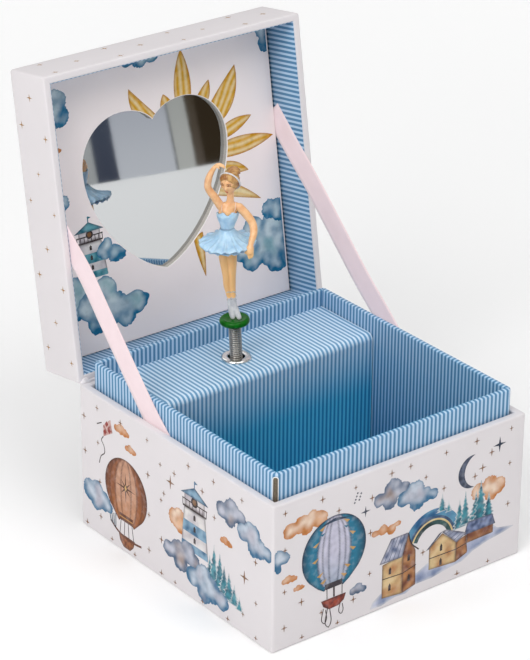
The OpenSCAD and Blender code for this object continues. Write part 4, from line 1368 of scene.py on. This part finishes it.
def lighthouse(pic, x, y, s, tones):
    """A banded tower with a gallery, a lamp room and a pointed roof; s scales it."""
    def at(*pts):
        return [(x + a * s, y + b * s) for a, b in pts]

    pic.fill(at((-7.6, 0), (7.6, 0), (5.9, 16), (-5.9, 16)),
             wash(ink(238, 234, 232), ink(206, 200, 204), rim=DARK, seed=2), 0.6)
    for a, b in ((0, 3.0), (6.8, 11.2)):
        w0, w1 = 7.5 - 0.106 * a, 7.5 - 0.106 * b
        pic.fill(at((-w0, a), (w0, a), (w1, b), (-w1, b)), wash(*tones, seed=a, scale=0.4), 0.6)
    pic.shape(at((-6.6, 16), (6.6, 16), (6.6, 16.7), (-6.6, 16.7)), DARK)
    pic.fill(at((-5.6, 16.7), (5.6, 16.7), (5.6, 21.5), (-5.6, 21.5)),
             wash(ink(232, 226, 226), ink(196, 188, 194), rim=DARK, seed=4), 0.6)
    pic.stroke(at((-6.9, 19.0), (6.9, 19.0)), 0.45, DARK, False)
    for k in range(8):
        pic.stroke(at((-6.6 + k * 1.88, 16.5), (-6.6 + k * 1.88, 19)), 0.3, DARK, False)
    porthole = [(1.9 * cos(k * pi / 8), 19.6 + 1.9 * sin(k * pi / 8)) for k in range(16)]
    pic.shape(at(*porthole), DARK)
    pic.shape(at(*[(p[0] * 0.55, 19.6 + (p[1] - 19.6) * 0.55) for p in porthole]), BROWN)
    pic.fill(at((-7.8, 21), (7.8, 21), (0, 25.2)), wash(*tones, rim=NAVY, seed=6, scale=0.4), 0.6)
    pic.stroke(at((0, 25), (0, 27.6)), 0.4, tones[1], False)
    pic.shape(at((0, 27.8), (1.7, 27.1), (0, 26.5)), tones[1])
    for z in (4.8, 9.2, 13.6):
        pic.shape(at((-0.6, z - 1), (0.6, z - 1), (0.6, z + 0.6), (0, z + 1.3), (-0.6, z + 0.6)), DARK)


def wall(nx, ny, on_lid=False):
    """Places on the upright wall that faces (nx, ny): a across it, b up from its lower edge, h out."""
    def place(a, b, h):
        if on_lid:
            return open_lid(wall(nx, ny)(a, RIM + b, h))
        if nx:
            return np.column_stack([np.full(len(a), nx * (HALF_X + h)), a * nx, b])
        return np.column_stack([a * -ny, np.full(len(a), ny * (HALF_Y + h)), b])

    return place


TEALS = (ink(78, 152, 166), ink(12, 82, 104))
WOOD = (ink(230, 204, 158), ink(190, 138, 96), ink(118, 66, 48))


def front_picture():
    """The front's print: a blue balloon, clouds, houses, an arch, firs, a moon and stars."""
    pic = Picture(wall(0, -1), (-54.2, 1.2, 54.2, 54.4))
    cloud(pic, [(-47.5, 44.2, 2.8), (-43, 45, 3.0), (-38.6, 46, 2.6), (-41, 43.4, 2.4), (-35.5, 44.6, 2.9)],
          WARM_CLOUD, 1.2)
    cloud(pic, [(-52.6, 35.4, 2.6), (-50.2, 34.8, 1.9), (-53.6, 33.2, 1.8), (-52.6, 31.4, 1.2)],
          BLUE_CLOUD, 2.1)
    wisp(pic, -48, 25.9, 7, 3.3)
    wisp(pic, -44, 21.4, 5, 4.1)
    cloud(pic, [(-20.4, 11.8, 1.5), (-18.4, 12.2, 1.8), (-16.3, 11.3, 1.2)], GREY_CLOUD, 5.5, 0.5)
    cloud(pic, [(-9.8, 43, 2.4), (-4.2, 45, 3.8), (0.2, 43.8, 2.8), (-5.5, 41.4, 3)], GREY_CLOUD, 6.2)
    cloud(pic, [(0.8, 39.8, 2.8), (5.5, 40.8, 4), (10, 38.4, 2.8), (13.6, 37.6, 2), (6.5, 37, 3)],
          BLUE_CLOUD, 7.7)
    cloud(pic, [(-11.6, 30.6, 1.2), (-8, 31, 1.8), (-4.6, 30, 1.8), (-1.6, 31.4, 1)], WARM_CLOUD, 8.4, 0.5)
    cloud(pic, [(34.6, 31.6, 3), (39.6, 32, 3.4), (43.6, 31, 3), (40.5, 29.4, 2.8)], WARM_CLOUD, 9.5)
    for i in range(7):
        pic.star(-20.8 + (i * 1.9) % 3.4, 45.6 + i * 0.55, 0.45, NAVY, 1, 0.6)
    pic.star(-16, 40.7, 2.1, NAVY)
    pic.star(43.4, 46.9, 3.0, NAVY)
    pic.star(35.9, 40.2, 1.8, BROWN)
    pic.fill(crescent(31.2, 40.4, 6.3, 3.0), wash(ink(104, 112, 134), ink(38, 46, 66), rim=NAVY, seed=4,
                                                  scale=0.6), 0.45)
    for r0, r1, c in ((13.4, 10.6, (ink(104, 156, 186), ink(34, 90, 138))),
                      (10.6, 9.6, (ink(60, 88, 120), ink(26, 50, 84))),
                      (9.6, 8.9, (ink(226, 206, 160), ink(206, 180, 130))),
                      (8.9, 7.2, (ink(44, 84, 84), ink(14, 48, 52)))):
        band = [(14 + r0 * cos(radians(a)), 18 + r0 * sin(radians(a))) for a in range(160, 9, -6)]
        band += [(14 + r1 * cos(radians(a)), 18 + r1 * sin(radians(a))) for a in range(10, 161, 6)]
        pic.fill(np.array(band), wash(*c, seed=r0, scale=0.3), 0.55)
    for x, y, w, h in ((18, 29, 5.6, 6.6), (21, 28, 4, 4), (26, 19.5, 8, 11), (28.6, 20, 7, 13),
                       (33.4, 19.5, 8, 12), (35.6, 20, 9.5, 15), (39.4, 19.5, 7, 10)):
        fir(pic, x, y, w, h, x, TEALS)
    pic.fill([(-13, 1.8), (-8, 1.4), (-2, 2.8), (3, 2.4), (7, 4.6), (14, 4.4), (22, 5.6), (28, 6.2),
              (33, 8.6), (40, 10.4), (47, 11.2), (52, 12.4), (44, 14), (42, 16), (30, 15), (22, 13),
              (12, 11), (8, 9), (-4, 8), (-9, 6), (-12, 4)],
             wash(ink(206, 210, 228), ink(104, 124, 164), seed=11, soft=1.2, scale=0.16), 0.8)
    pic.fill([(30, 12.7), (42, 12.9), (42, 16.8), (29.6, 17)],
             wash(WOOD[1], WOOD[2], rim=DARK, seed=1), 0.6)
    pic.fill([(28.6, 16.2), (43, 16.2), (41.4, 20.6), (30, 21)],
             wash(ink(140, 154, 190), ink(60, 76, 112), rim=DARK, seed=2, scale=0.6), 0.6)
    house(pic, [(12.8, 8), (25, 7), (25, 15), (18.6, 20.6), (12.8, 16.6)],
          [(25, 7), (30.4, 9), (29.6, 16.2), (25, 15)], [(18.4, 21), (20.4, 21.4), (29.8, 17),
                                                         (25.2, 14.6)], [(18.2, 15.2), (18.2, 9.6)],
          [[(12.8, 12.4), (25, 12)], [(25, 12), (30, 12.8)]], WOOD)
    pic.fill([(11.4, 16), (12.6, 16.2), (18.6, 21.2), (20.4, 21.4), (17.4, 21)],
             wash(ink(150, 166, 190), ink(90, 110, 140), rim=DARK), 0.5)
    house(pic, [(-8, 4.2), (1, 3.2), (1, 18.2), (-8, 17.2)],
          [(1, 3.2), (7, 4.6), (6.6, 18.2), (3.1, 25.4), (0.8, 18)],
          [(-9.3, 17.8), (-4.4, 26.2), (3.2, 26.2), (0.6, 17.4)],
          [(-4.6, 14), (-4.6, 7.6), (3.6, 16.4), (3.9, 8.4)],
          [[(-8, 11.6), (1, 11)], [(1, 11), (7, 12.4)]], WOOD)
    pic.stroke([(3.2, 26), (4.6, 21.5), (8, 18)], 0.5, DARK)
    balloon = (-29.2, 30.2, 13.6)
    mid = balloon[0]
    pic.fill(balloon_line(*balloon, 3.4, 17),
             gores(*balloon, ink(210, 208, 226), ink(50, 124, 154), ink(12, 32, 60), ink(24, 116, 140),
                   (0.17, 0.36, 0.52), 2.0), 0.6)
    pic.fill([(-35.5, 41.2), (-32, 42.2), (-29, 42.9), (-26, 42.2), (-22.5, 41.2), (-26, 41.4),
              (-29, 41.6), (-32, 41.4)],
             wash(ink(60, 80, 108), NAVY, seed=1), 0.6)
    for way in (-1, 1):
        for z, w in ((40.4, 5.2), (35, 7.8), (29, 8.0), (23, 5.9), (20, 4.4)):
            pic.shape([(mid + way * (w - 1.5), z + 0.9), (mid + way * w, z + 0.4),
                       (mid + way * (w + 1.3), z - 0.2), (mid + way * w, z - 0.9)], ink(204, 164, 110))
            pic.shape([(mid + way * (w - 1.2), z - 1.8), (mid + way * (w + 0.9), z - 2.2),
                       (mid + way * (w - 0.2), z - 2.9)],
                      ink(40, 110, 140))
    pic.shape([(-33, 18.6), (-25.4, 18.6), (-25.8, 16.5), (-32.6, 16.5)], ink(52, 44, 52))
    for x in (-32, -29.2, -28.8, -25.5):
        pic.stroke([(x, 16.8), (x * 0.99 - 0.2, 12.8)], 0.28, DARK, False)
    pic.fill([(-34.4, 12.6), (-23.8, 12.6), (-24.6, 10.2), (-27, 8.7), (-31, 8.6), (-33.4, 10.2)],
             wash(ink(170, 84, 66), ink(106, 44, 40), rim=DARK, seed=6, scale=0.8), 0.5)
    for x, z in ((-32.8, 3.6), (-31, 1.6), (-25.6, 5)):
        pic.stroke([(x - 0.6, 9.6), (x - 0.8, z + 0.6), (x, z), (x + 0.6, z + 0.8),
                    (x + 0.4, 8.8)], 0.28, DARK)
    little_stars(pic, [(-50, 51.5), (-34.5, 51.5), (-20.5, 51.3), (-5, 51.5), (3.2, 51.5),
                       (19, 51.5), (32.7, 51.5), (48.5, 51.5), (-27.5, 45), (-13.3, 45), (10.2, 45),
                       (39.8, 45), (-50, 37.7), (18.5, 38), (32.5, 38), (48.5, 38), (-13.7, 31.8),
                       (48.5, 22), (-50, 22), (-42.8, 15.7), (-13.6, 16), (10, 16), (-50, 8.2),
                       (-34.3, 8.5), (-20.5, 8.5), (-42.4, 1.9), (-27.2, 1.9), (26, 1.9), (40.2, 1.9)])
    pic.make("front_print", "case")


def left_picture():
    """The left side's print: a kite, a brown balloon, a lighthouse, firs, clouds and stars."""
    pic = Picture(wall(-1, 0), (-54.2, 1.2, 54.2, 54.4))
    pic.fill([(-40.6, 45.4), (-36.2, 49.2), (-35, 44.4), (-40.6, 41)],
             wash(ink(228, 200, 194), ink(150, 66, 56), seed=4, scale=0.9), 0.5)
    for x, y in ((-38.4, 46.6), (-37, 44.4), (-39.6, 43)):
        pic.shape([(x - 1, y), (x, y + 1.2), (x + 1, y + 0.2), (x, y - 1.1)], ink(150, 56, 50))
    pic.stroke([(-40.6, 41), (-41.8, 39), (-40.4, 37.4), (-40, 34.8), (-42.2, 32.6),
                (-43.4, 29.4)], 0.4, DARK)
    pic.stroke([(-44.4, 44.4), (-41.5, 46)], 0.4, DARK, False)
    wisp(pic, -29.6, 47.6, 9.5, 1.1)
    wisp(pic, -24.4, 42.2, 7, 2.2)
    wisp(pic, 30, 31, 7, 2.9)
    balloon = (-27.4, 24.6, 12.5)
    pic.fill(balloon_line(*balloon, 3.8, 12.4),
             gores(*balloon, ink(206, 160, 134), ink(150, 92, 60), ink(74, 32, 18), ink(190, 116, 50),
                   (0.24, 0.52, 0.78), 5.0, ink(70, 32, 18)), 0.6)
    pic.stroke([(-30.8, 15), (-27.4, 14.2), (-24, 15)], 0.5, ink(196, 140, 92))
    x, y = -27.6, 26
    for k in range(8):
        a = k * pi / 4
        r = 6 if k % 2 == 0 else 3.8
        pic.shape([(x + r * cos(a), y + r * sin(a)), (x + 0.9 * cos(a + 0.5), y + 0.9 * sin(a + 0.5)),
                   (x, y), (x + 0.9 * cos(a - 0.5), y + 0.9 * sin(a - 0.5))], ink(88, 54, 36))
    pic.shape([(-28.3, 26), (-27.6, 27.3), (-26.9, 26), (-27.6, 24.7)], ink(220, 186, 130))
    for x0, x1 in ((-30.6, -31.4), (-28.4, -28.8), (-26.4, -26), (-24.2, -23.2)):
        pic.stroke([(x0, 12.6), (x1, 6.8)], 0.3, DARK, False)
    pic.fill([(-32.2, 6.8), (-22.4, 6.8), (-23.4, 4), (-25.4, 2), (-29.2, 2), (-31.4, 4)],
             wash(ink(176, 116, 80), ink(110, 62, 42), rim=DARK, seed=6, scale=0.8), 0.5)
    pic.stroke([(-37, 9.6), (-33.4, 7.4), (-21.2, 6.2), (-18.6, 6.6)], 0.8, ink(104, 58, 40))
    pic.shape([(-31.6, 15.2), (-23.4, 15.2), (-23.8, 12.4), (-31.2, 12.4)], ink(104, 60, 42))
    pic.stroke([(-31.4, 13.8), (-23.6, 13.8)], 0.5, ink(196, 146, 92), False)
    for k in range(4):
        pic.stroke([(-36.6 + k * 0.9, 9 - k * 0.4), (-37.4 + k * 1.2, 12 + k * 0.5)], 0.45,
                   ink(48, 80, 96), False)
    cloud(pic, [(-49, 16, 4), (-45, 17.6, 3.6), (-41, 15, 3.6), (-45.6, 13.6, 3.6), (-38.4, 14, 2.2)],
          BLUE_CLOUD, 3.1)
    cloud(pic, [(1.4, 27.6, 3.2), (4, 28.8, 3), (4.4, 26, 3)], WARM_CLOUD, 3.9)
    lighthouse(pic, 12.5, 18.6, 1.0, (ink(150, 182, 204), ink(70, 112, 146)))
    for x, y, w, h in ((21, 12, 6.5, 9.5), (23.4, 11.5, 8, 15), (26.6, 10.5, 10, 14), (29, 10, 9, 11),
                       (31.6, 9, 9, 10.6), (34.6, 8.6, 7, 7.6), (37.4, 8, 5.5, 5)):
        fir(pic, x, y, w, h, x, TEALS)
    cloud(pic, [(-2, 14, 3), (3.4, 15, 4.4), (8.6, 17, 4), (12, 15.2, 3), (4.4, 12, 3.6)], GREY_CLOUD, 4.6)
    cloud(pic, [(12, 9.4, 3.6), (17.6, 11.4, 4.6), (22, 8.6, 4.6), (27.4, 7.2, 3.4), (18, 6, 3.8)],
          BLUE_CLOUD, 5.2)
    cloud(pic, [(28, 42.6, 3), (33, 44.4, 3.8), (37.4, 43.6, 2.8), (32, 41, 2.8)], GREY_CLOUD, 6.3)
    cloud(pic, [(39.4, 39, 3), (44, 40.4, 4), (48, 37, 3.4), (52, 36.6, 2.6), (45, 35.6, 3)],
          BLUE_CLOUD, 7.4)
    pic.star(-1.2, 40, 2.3, BROWN, 1.15)
    pic.star(40, 22.3, 2.3, BROWN, 1.15)
    little_stars(pic, [(-44.2, 50.5), (-30.2, 50.5), (-14.5, 50.5), (9, 50.7), (23, 50.8), (38.5, 50.7),
                       (-52.3, 44.2), (-7, 44.3), (1, 44.3), (16.8, 44.5), (-44, 37), (-14.2, 37.3),
                       (-5, 34), (23.5, 37.5), (-52, 30.7), (-6.7, 30.8), (46, 30.8), (-43.2, 21.8),
                       (-13.8, 21.8), (-6.6, 15.3), (46.3, 15.3), (-43, 8), (-14, 7.8), (39.3, 7.8),
                       (-51.5, 1.9), (-36.3, 1.9), (-22.5, 1.9), (-6.8, 1.9), (1.2, 1.9), (17, 1.9),
                       (31, 1.9), (46.4, 1.9)])
    pic.make("left_print", "case")


def quiet_picture(name, place, seed, key_gap=None):
    """A calm print for the case's far walls: clouds, wisps and stars. key_gap (x, y, radius) is bare."""
    x0, y0, x1, y1 = limits = (-54, 1.4, 54, 54)
    pic = Picture(place, limits)
    w, h = x1 - x0, y1 - y0
    for i, (fx, fy, kind) in enumerate(((0.16, 0.74, BLUE_CLOUD), (0.80, 0.78, GREY_CLOUD),
                                        (0.22, 0.20, GREY_CLOUD), (0.76, 0.24, BLUE_CLOUD))):
        x, y = x0 + fx * w, y0 + fy * h
        cloud(pic, [(x - 5, y, 3), (x - 1, y + 1.6, 3.8), (x + 3.6, y, 3.4), (x - 0.6, y - 1.8, 3.2),
                    (x + 7, y - 0.8, 2.2)],
              kind, seed + i)
    for i, (fx, fy) in enumerate(((0.38, 0.90), (0.62, 0.08), (0.9, 0.5), (0.06, 0.46))):
        wisp(pic, x0 + fx * w, y0 + fy * h, 8, seed + 9 + i)
    nx, ny = max(3, int(w / 13.6)), max(2, int(h / 7))
    spots = []
    for j in range(ny):
        for i in range(nx):
            x = x0 + (i + 0.25 + 0.5 * (j % 2)) * w / nx
            y = y0 + (j + 0.5) * h / ny
            if key_gap and hypot(x - key_gap[0], y - key_gap[1]) < key_gap[2]:
                continue
            spots.append((x, y))
    little_stars(pic, spots[::2])
    pic.make(name, "case")


SUN_MID = np.array((1.5, 62.0))


def sun_ray(pic, tip, left, right, bow, seed, pale=0.0):
    """A long gold flame from its base on the heart to its tip. bow swells its left and right sides."""
    tip, left, right = map(np.array, (tip, left, right))
    left = left + (SUN_MID - left) * 0.12
    right = right + (SUN_MID - right) * 0.12
    axis = tip - (left + right) / 2
    along = axis / np.linalg.norm(axis)
    aside = np.array((along[1], -along[0]))
    out = []
    for a, b, way, swell in ((right, tip, 1, bow[1] + 1.0), (tip, left, -1, bow[0] + 1.0)):
        for t in np.linspace(0, 1, 10)[:-1]:
            out.append(a * (1 - t) + b * t + aside * way * swell * sin(pi * t) ** 0.8)

    def colour(p, edge):
        across = (p - left) @ aside
        up = (p - left) @ along
        t = 0.5 + 0.5 * np.sin(across * 2.6 + 3 * clouded(p, 0.12, seed) + up * 0.1)
        c = mixed(ink(226, 170, 58), ink(252, 232, 186), np.clip(t * 0.85 + pale, 0, 1))
        return mixed(c, ink(184, 118, 26), np.clip(1 - edge / 0.9, 0, 1) * 0.85)

    pic.fill(np.array(out), colour, 0.55)


def heart_picture():
    """The heart card's print: gold flames round the heart, clouds and a lighthouse."""
    pic = Picture(lambda a, b, h: panel_point(a, b, PANEL_V - h), (-51, 3.6, 51, 106.4))
    pic.hole = heart(0.3)
    for i, (tip, left, right, bow) in enumerate((
            ((-10.7, 94), (-8.4, 84.9), (3.0, 81.6), (0.9, -1.0)),
            ((3.7, 89), (3.6, 84.4), (9, 85.6), (0.5, -0.2)),
            ((13, 103.5), (10, 86.5), (17, 86), (0.9, 0.9)),
            ((24, 90), (19, 85.6), (23.4, 83), (-0.3, 0.7)),
            ((36, 93), (24.8, 81.6), (29.2, 74), (-0.6, 3.2)),
            ((41.5, 73), (29.6, 71.6), (29.6, 67.2), (0.7, 0.5)),
            ((50.5, 63.5), (30.2, 66), (29.4, 60), (0.8, 0.9)),
            ((38, 53), (29, 57.8), (27.6, 54), (0.9, -0.2)),
            ((42.5, 41), (27.6, 51), (25, 45), (0.2, -0.9)),
            ((14.5, 18), (16.6, 34), (11.8, 30), (-0.5, -0.5)))):
        sun_ray(pic, tip, left, right, bow, i, 0.5 if i == 8 else 0.0)
    cloud(pic, [(-10, 104.5, 2.6), (-5, 104, 3.2), (0, 104.6, 3), (4, 105, 2.2)], TEAL_CLOUD, 1.5)
    cloud(pic, [(-41.5, 96, 4.2), (-40.5, 91, 3.8), (-43, 93, 3.6)], TEAL_CLOUD, 2.5)
    cloud(pic, [(51, 103, 4), (50.8, 98, 3.2)], TEAL_CLOUD, 3.3)
    wisp(pic, -44, 79, 6, 0.4)
    cloud(pic, [(-45.5, 60, 3), (-43, 60, 2.4)], TEAL_CLOUD, 3.7)
    lighthouse(pic, -33.6, 30.2, 0.82, (ink(120, 180, 190), ink(30, 110, 130)))
    cloud(pic, [(-46, 30, 4), (-42, 27, 5), (-40, 22, 4.6), (-44, 20, 4)], TEAL_CLOUD, 4.4)
    cloud(pic, [(-27.5, 39, 3.2), (-23.6, 37, 3), (-26.6, 41, 2), (-21.4, 36.4, 2)], TEAL_CLOUD, 5.1)
    cloud(pic, [(-36, 20, 5.4), (-30, 24, 5.2), (-26, 17, 5.6), (-34, 13.6, 4), (-17.4, 17, 4.2),
                (-22, 13, 3.6), (-14.4, 17, 2.6)],
          TEAL_CLOUD, 6.6, 1.3)
    cloud(pic, [(33, 24, 5), (38, 30, 4.6), (43, 23, 7), (48, 31, 6), (47, 17, 5), (36, 19, 4),
                (52, 24, 8)], TEAL_CLOUD, 7.2, 1.3)
    cloud(pic, [(46, 36, 3.4), (50, 35, 4)], TEAL_CLOUD, 8.2)
    pic.star(-43.2, 69.4, 1, NAVY)
    pic.make("heart_card_print", "lid")


def lid_pictures():
    """The lid's print: clouds and a moon on top, and small stars on its sides."""
    pic = Picture(lambda a, b, h: open_lid(np.column_stack([a, b, np.full(len(a), RIM + LID_H + h)])),
                  (-53, -53, 53, 53))
    cloud(pic, [(-30, -20, 6), (-22, -16, 8), (-12, -20, 6), (-22, -25, 6)], BLUE_CLOUD, 2.2)
    cloud(pic, [(16, 22, 6), (24, 27, 8), (34, 23, 6.4), (26, 18, 6.4)], GREY_CLOUD, 3.4)
    cloud(pic, [(22, -34, 4), (28, -31, 5), (34, -34, 4)], WARM_CLOUD, 4.4)
    pic.fill(crescent(-8, 20, 12, 6), wash(ink(226, 196, 116), ink(180, 134, 54), rim=BROWN, seed=4,
                                           scale=0.3), 0.8)
    little_stars(pic, [(-45 + 15 * i + 7.5 * (j % 2), -46 + 11.5 * j) for i in range(7) for j in range(9)
                       if (i * 3 + j * 5) % 4 and -45 + 15 * i + 7.5 * (j % 2) < 50], 1.4)
    pic.make("lid_top_print", "lid")
    for name, facing in (("lid_left_print", (-1, 0)), ("lid_right_print", (1, 0)),
                         ("lid_front_print", (0, -1))):
        pic = Picture(wall(*facing, on_lid=True), (-53, 1.6, 53, 20.4))
        for j, z in enumerate((3.2, 10.4, 17.4)):
            little_stars(pic, [(-48 + 27 * i + 13.5 * (j % 2) + 3 * (j == 2), z)
                               for i in range(4)], 1.5, GOLD)
        pic.make(name, "lid")


front_picture()
left_picture()
quiet_picture("right_print", wall(1, 0), 20)
quiet_picture("back_print", wall(0, 1), 40, (1.8, 30, 12))
heart_picture()
lid_pictures()


def face_paint():
    """Painted eyes, brows and lips that follow the head's surface."""
    def place(a, b, h):
        u = np.clip(b / np.where(b < 0, CHIN, CROWN), -0.99, 0.99)
        low = np.clip(-u, 0, 1)
        s = np.clip(a / (HEAD_WIDE * (1 - JAW * low ** 1.4)), -0.99, 0.99)
        out = np.sqrt(np.maximum(1 - u * u - s * s, 0.01))
        o, s2, u2 = head_shape(out, s, u)
        return on_axis(in_head(o + h * 2 + 0.02, s2, u2) + (0, 0, SOLE))
    pic = Picture(place, (-3, -4, 3, 4))
    for way in (-1, 1):
        pic.fill([(way * 0.62, 0.22), (way * 1.1, 0.52), (way * 1.72, 0.30), (way * 1.15, 0.02)],
                 wash(ink(196, 120, 96), ink(176, 96, 78)), 0.2)
        pic.stroke([(way * 0.6, 0.18), (way * 1.1, 0.34), (way * 1.75, 0.12)], 0.2, ink(84, 34, 26))
        pic.stroke([(way * 0.55, 0.85), (way * 1.15, 1.08), (way * 1.8, 0.80)], 0.15, ink(140, 84, 52))
    pic.fill([(-0.72, -2.28), (-0.3, -2.05), (0, -2.14), (0.3, -2.05), (0.72, -2.28), (0, -2.62)],
             wash(ink(206, 96, 84), ink(190, 78, 70)), 0.2)
    pic.make("dancer_face_paint", "figure")


face_paint()


# ------------------------------------------------------------------ ribbons and hinge paper

def strip(name, mid, width, normal, thick, finish, slot, sag=0.0):
    """A thin closed band along a smooth line, its width at right angles to the line and to normal."""
    p = smooth_path(mid, 60)
    d = np.gradient(p, axis=0)
    d /= np.linalg.norm(d, axis=1)[:, None]
    n = np.asarray(normal, float)
    w = np.cross(d, n)
    w /= np.linalg.norm(w, axis=1)[:, None]
    across = np.linspace(-0.5, 0.5, 9)
    t = lengths(p)
    verts = []
    for side in (1, -1):
        for i in range(len(p)):
            for a in across:
                lift = n * (side * thick / 2 + sag * (a * a * 4 - 1))
                verts.append(p[i] + w[i] * a * width + lift)
    m, k = len(p), len(across)
    faces, uv = [], []

    def q(i, j):
        return t[i], (across[j] + 0.5) * width

    for side, off in ((1, 0), (-1, m * k)):
        for i in range(m - 1):
            for j in range(k - 1):
                c = [(i, j), (i, j + 1), (i + 1, j + 1), (i + 1, j)]
                faces.append([off + a * k + b for a, b in c])
                uv.append([q(a, b) for a, b in c])
    rim = [(i, 0) for i in range(m)] + [(m - 1, j) for j in range(1,
                                                                  k)] + [(i, k - 1)
                                                                         for i in range(m - 2, -1, -1)] \
        + [(0, j) for j in range(k - 2, 0, -1)]
    for a, b in zip(rim, rim[1:] + rim[:1]):
        faces.append([a[0] * k + a[1], b[0] * k + b[1], m * k + b[0] * k + b[1], m * k + a[0] * k + a[1]])
        uv.append([q(*a), q(*b), q(*b), q(*a)])
    return piece(name, verts, faces, finish, None, slot, uv), t[-1]


def ribbons():
    """Satin stays from the case to the lid, one a side."""
    x = HALF_X - BOARD - 0.1
    top = panel_point(0, 72.0, PANEL_V + 1.5)[0]
    for name, node, way, route in (
            ("left_ribbon", "ribbon_left", -1, [(76.5, 116.6), (67, 107.4), (53.5, 96.6),
                                                (42.5, 85.0), (35.5, 77.7), (25, 66.6),
                                                (15.2, 56.8), (6, 49.0)]),
            ("right_ribbon", "ribbon_right", 1, [(84, 123.6), (72, 113.2), (60, 103), (45, 89),
                                                 (30, 75), (17.5, 64.6), (8, 56.2), (0, 49.3)])):
        route = [(top[1], top[2])] + route[1:]
        mid = [(way * x, y, z) for y, z in route]
        o, length = strip(name, mid, 10, (way, 0, 0), 0.16, "satin", "satin", 0.10)
        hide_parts(node)
        way * x * MM
        route[-2][0] * MM
        route[-2][1] * MM
        way * x * MM
        route[0][0] * MM
        route[0][1] * MM
        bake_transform(o)


ribbons()


def hinge_paper():
    """The covering paper bunched in a soft roll along the hinge, crumpled at its left end."""
    y, z = np.array(joints["lid_hinge"]["pos_m"])[1:] * 1000
    rows, cols, half = 220, 18, HALF_X - 0.5
    verts = []
    for x in np.linspace(-half, half, rows):
        crumple = exp(-((x + half - 2.2) / 2.0) ** 2)
        close = min(1.0, (half - abs(x)) / 1.2) ** 0.5 if abs(x) > half - 1.2 else 1.0
        for k in range(cols):
            a = 2 * pi * k / cols
            fold = noise.noise(Vector((x * 0.5, cos(a) * 1.4, sin(a) * 1.4)))
            sharp = abs(noise.noise(Vector((x * 1.1, cos(a) * 2 + 4, sin(a) * 2))))
            r = (0.75 + 0.3 * fold + crumple * (0.4 + 1.3 * sharp)) * (0.12 + 0.88 * close)
            verts.append((x, y + r * cos(a) + 0.5 * crumple, z + r * sin(a)))
    faces = [(i * cols + k, (i + 1) * cols + k, (i + 1) * cols + (k + 1) % cols, i * cols + (k + 1) % cols)
             for i in range(rows - 1) for k in range(cols)]
    faces += [tuple(range(cols)), tuple((rows - 1) * cols + k for k in range(cols))[::-1]]
    piece("hinge_paper", verts, faces, "paper", "case", "print_white")


hinge_paper()


# ------------------------------------------------------------------ stage

def floor_finish():
    f = Finish("pale_floor", ink(250, 250, 250), Roughness=0.7, Specular_IOR_Level=0.2,
               Emission_Strength=1.0)
    p = f.place(1.0)
    x, y, _ = f.parts(p)
    far = f.step((x * x + y * y) ** 0.5, 0.1, 0.9)
    f.paint(f.blend(far, (0.03, 0.03, 0.03), (0.22, 0.22, 0.22)), "Emission Color")
    return f.paint(f.blend(f.grain(p, 2.0, 2), ink(247, 247, 247), ink(253, 253, 253))).m


def stage():
    """A wide pale floor."""
    M["floor"] = floor_finish()
    floor = piece("floor", [(-4000, -4000, 0), (4000, -4000, 0), (4000, 4000, 0), (-4000, 4000, 0)],
                  [(0, 1, 2, 3)], "floor", None, None, closed=False)


def reflected_cards():
    """Cards in front of the box that only its mirror shows: a pale wall with a dark post and a doorway."""
    start, along = np.array((425.0, -629.0)), np.array((0.778, 0.628))
    top = 240
    for i, (a, b, low, high) in enumerate((
            (-120, -9, ink(180, 183, 184), ink(196, 199, 200)), (-10, 6, ink(72, 78, 94), ink(78, 86, 102)),
            (5, 43, ink(214, 217, 224), ink(192, 196, 206)),
            (42, 44, ink(128, 130, 130), ink(112, 114, 114)),
            (44, 56, ink(202, 203, 199), ink(186, 188, 184)), (55, 62, ink(96, 86, 76), ink(80, 70, 56)),
            (61, 260, ink(60, 50, 37), ink(56, 46, 34)))):
        name = "card_%d" % i
        # Painted reflection: each card glows by its own emission, from the low colour at the floor to the high one
        # 60 mm up.
        f = Finish(name, (0, 0, 0), Roughness=1.0, Specular_IOR_Level=0.0, Emission_Strength=1.0)
        f.paint(f.blend(f.step(f.parts(f.place())[2], 0, 60), low, high), "Emission Color")
        M[name] = f.m
        p, q = start + along * a, start + along * b
        card = piece(name, [(*p, 0), (*q, 0), (*q, top), (*p, top)], [(0, 1, 2, 3)], name, None,
                     None, closed=False)
        card.visible_camera = card.visible_diffuse = card.visible_shadow = False


stage()
reflected_cards()


def area(name, at, to, size, power, colour=(1, 1, 1)):
    """A soft rectangular light at one place, aimed at another."""
    data = bpy.data.lights.new(name, "AREA")
    data.shape, data.size, data.size_y = "RECTANGLE", *size
    data.energy, data.color = power, colour
    o = bpy.data.objects.new(name, data)
    d = (Vector(to) - Vector(at)).normalized()
    o.rotation_euler = d.to_track_quat("-Z", "Y").to_euler()
    o.location = at
    bpy.context.collection.objects.link(o)


area("softbox_left", (-1.3, -0.5, 1.2), (0, 0, 0.06), (1.0, 1.0), 14)
area("softbox_front", (0.0, -1.05, 1.8), (0, 0, 0.08), (1.3, 1.0), 9)
area("softbox_top", (0.1, 0.1, 1.8), (0, 0, 0.06), (1.6, 1.6), 8)
world = bpy.data.worlds.new("studio")
world.use_nodes = True
world.node_tree.nodes["Background"].inputs[0].default_value = (1, 1, 1, 1)
world.node_tree.nodes["Background"].inputs[1].default_value = 0.42
bpy.context.scene.world = world
bpy.context.scene.view_settings.view_transform = "Standard"
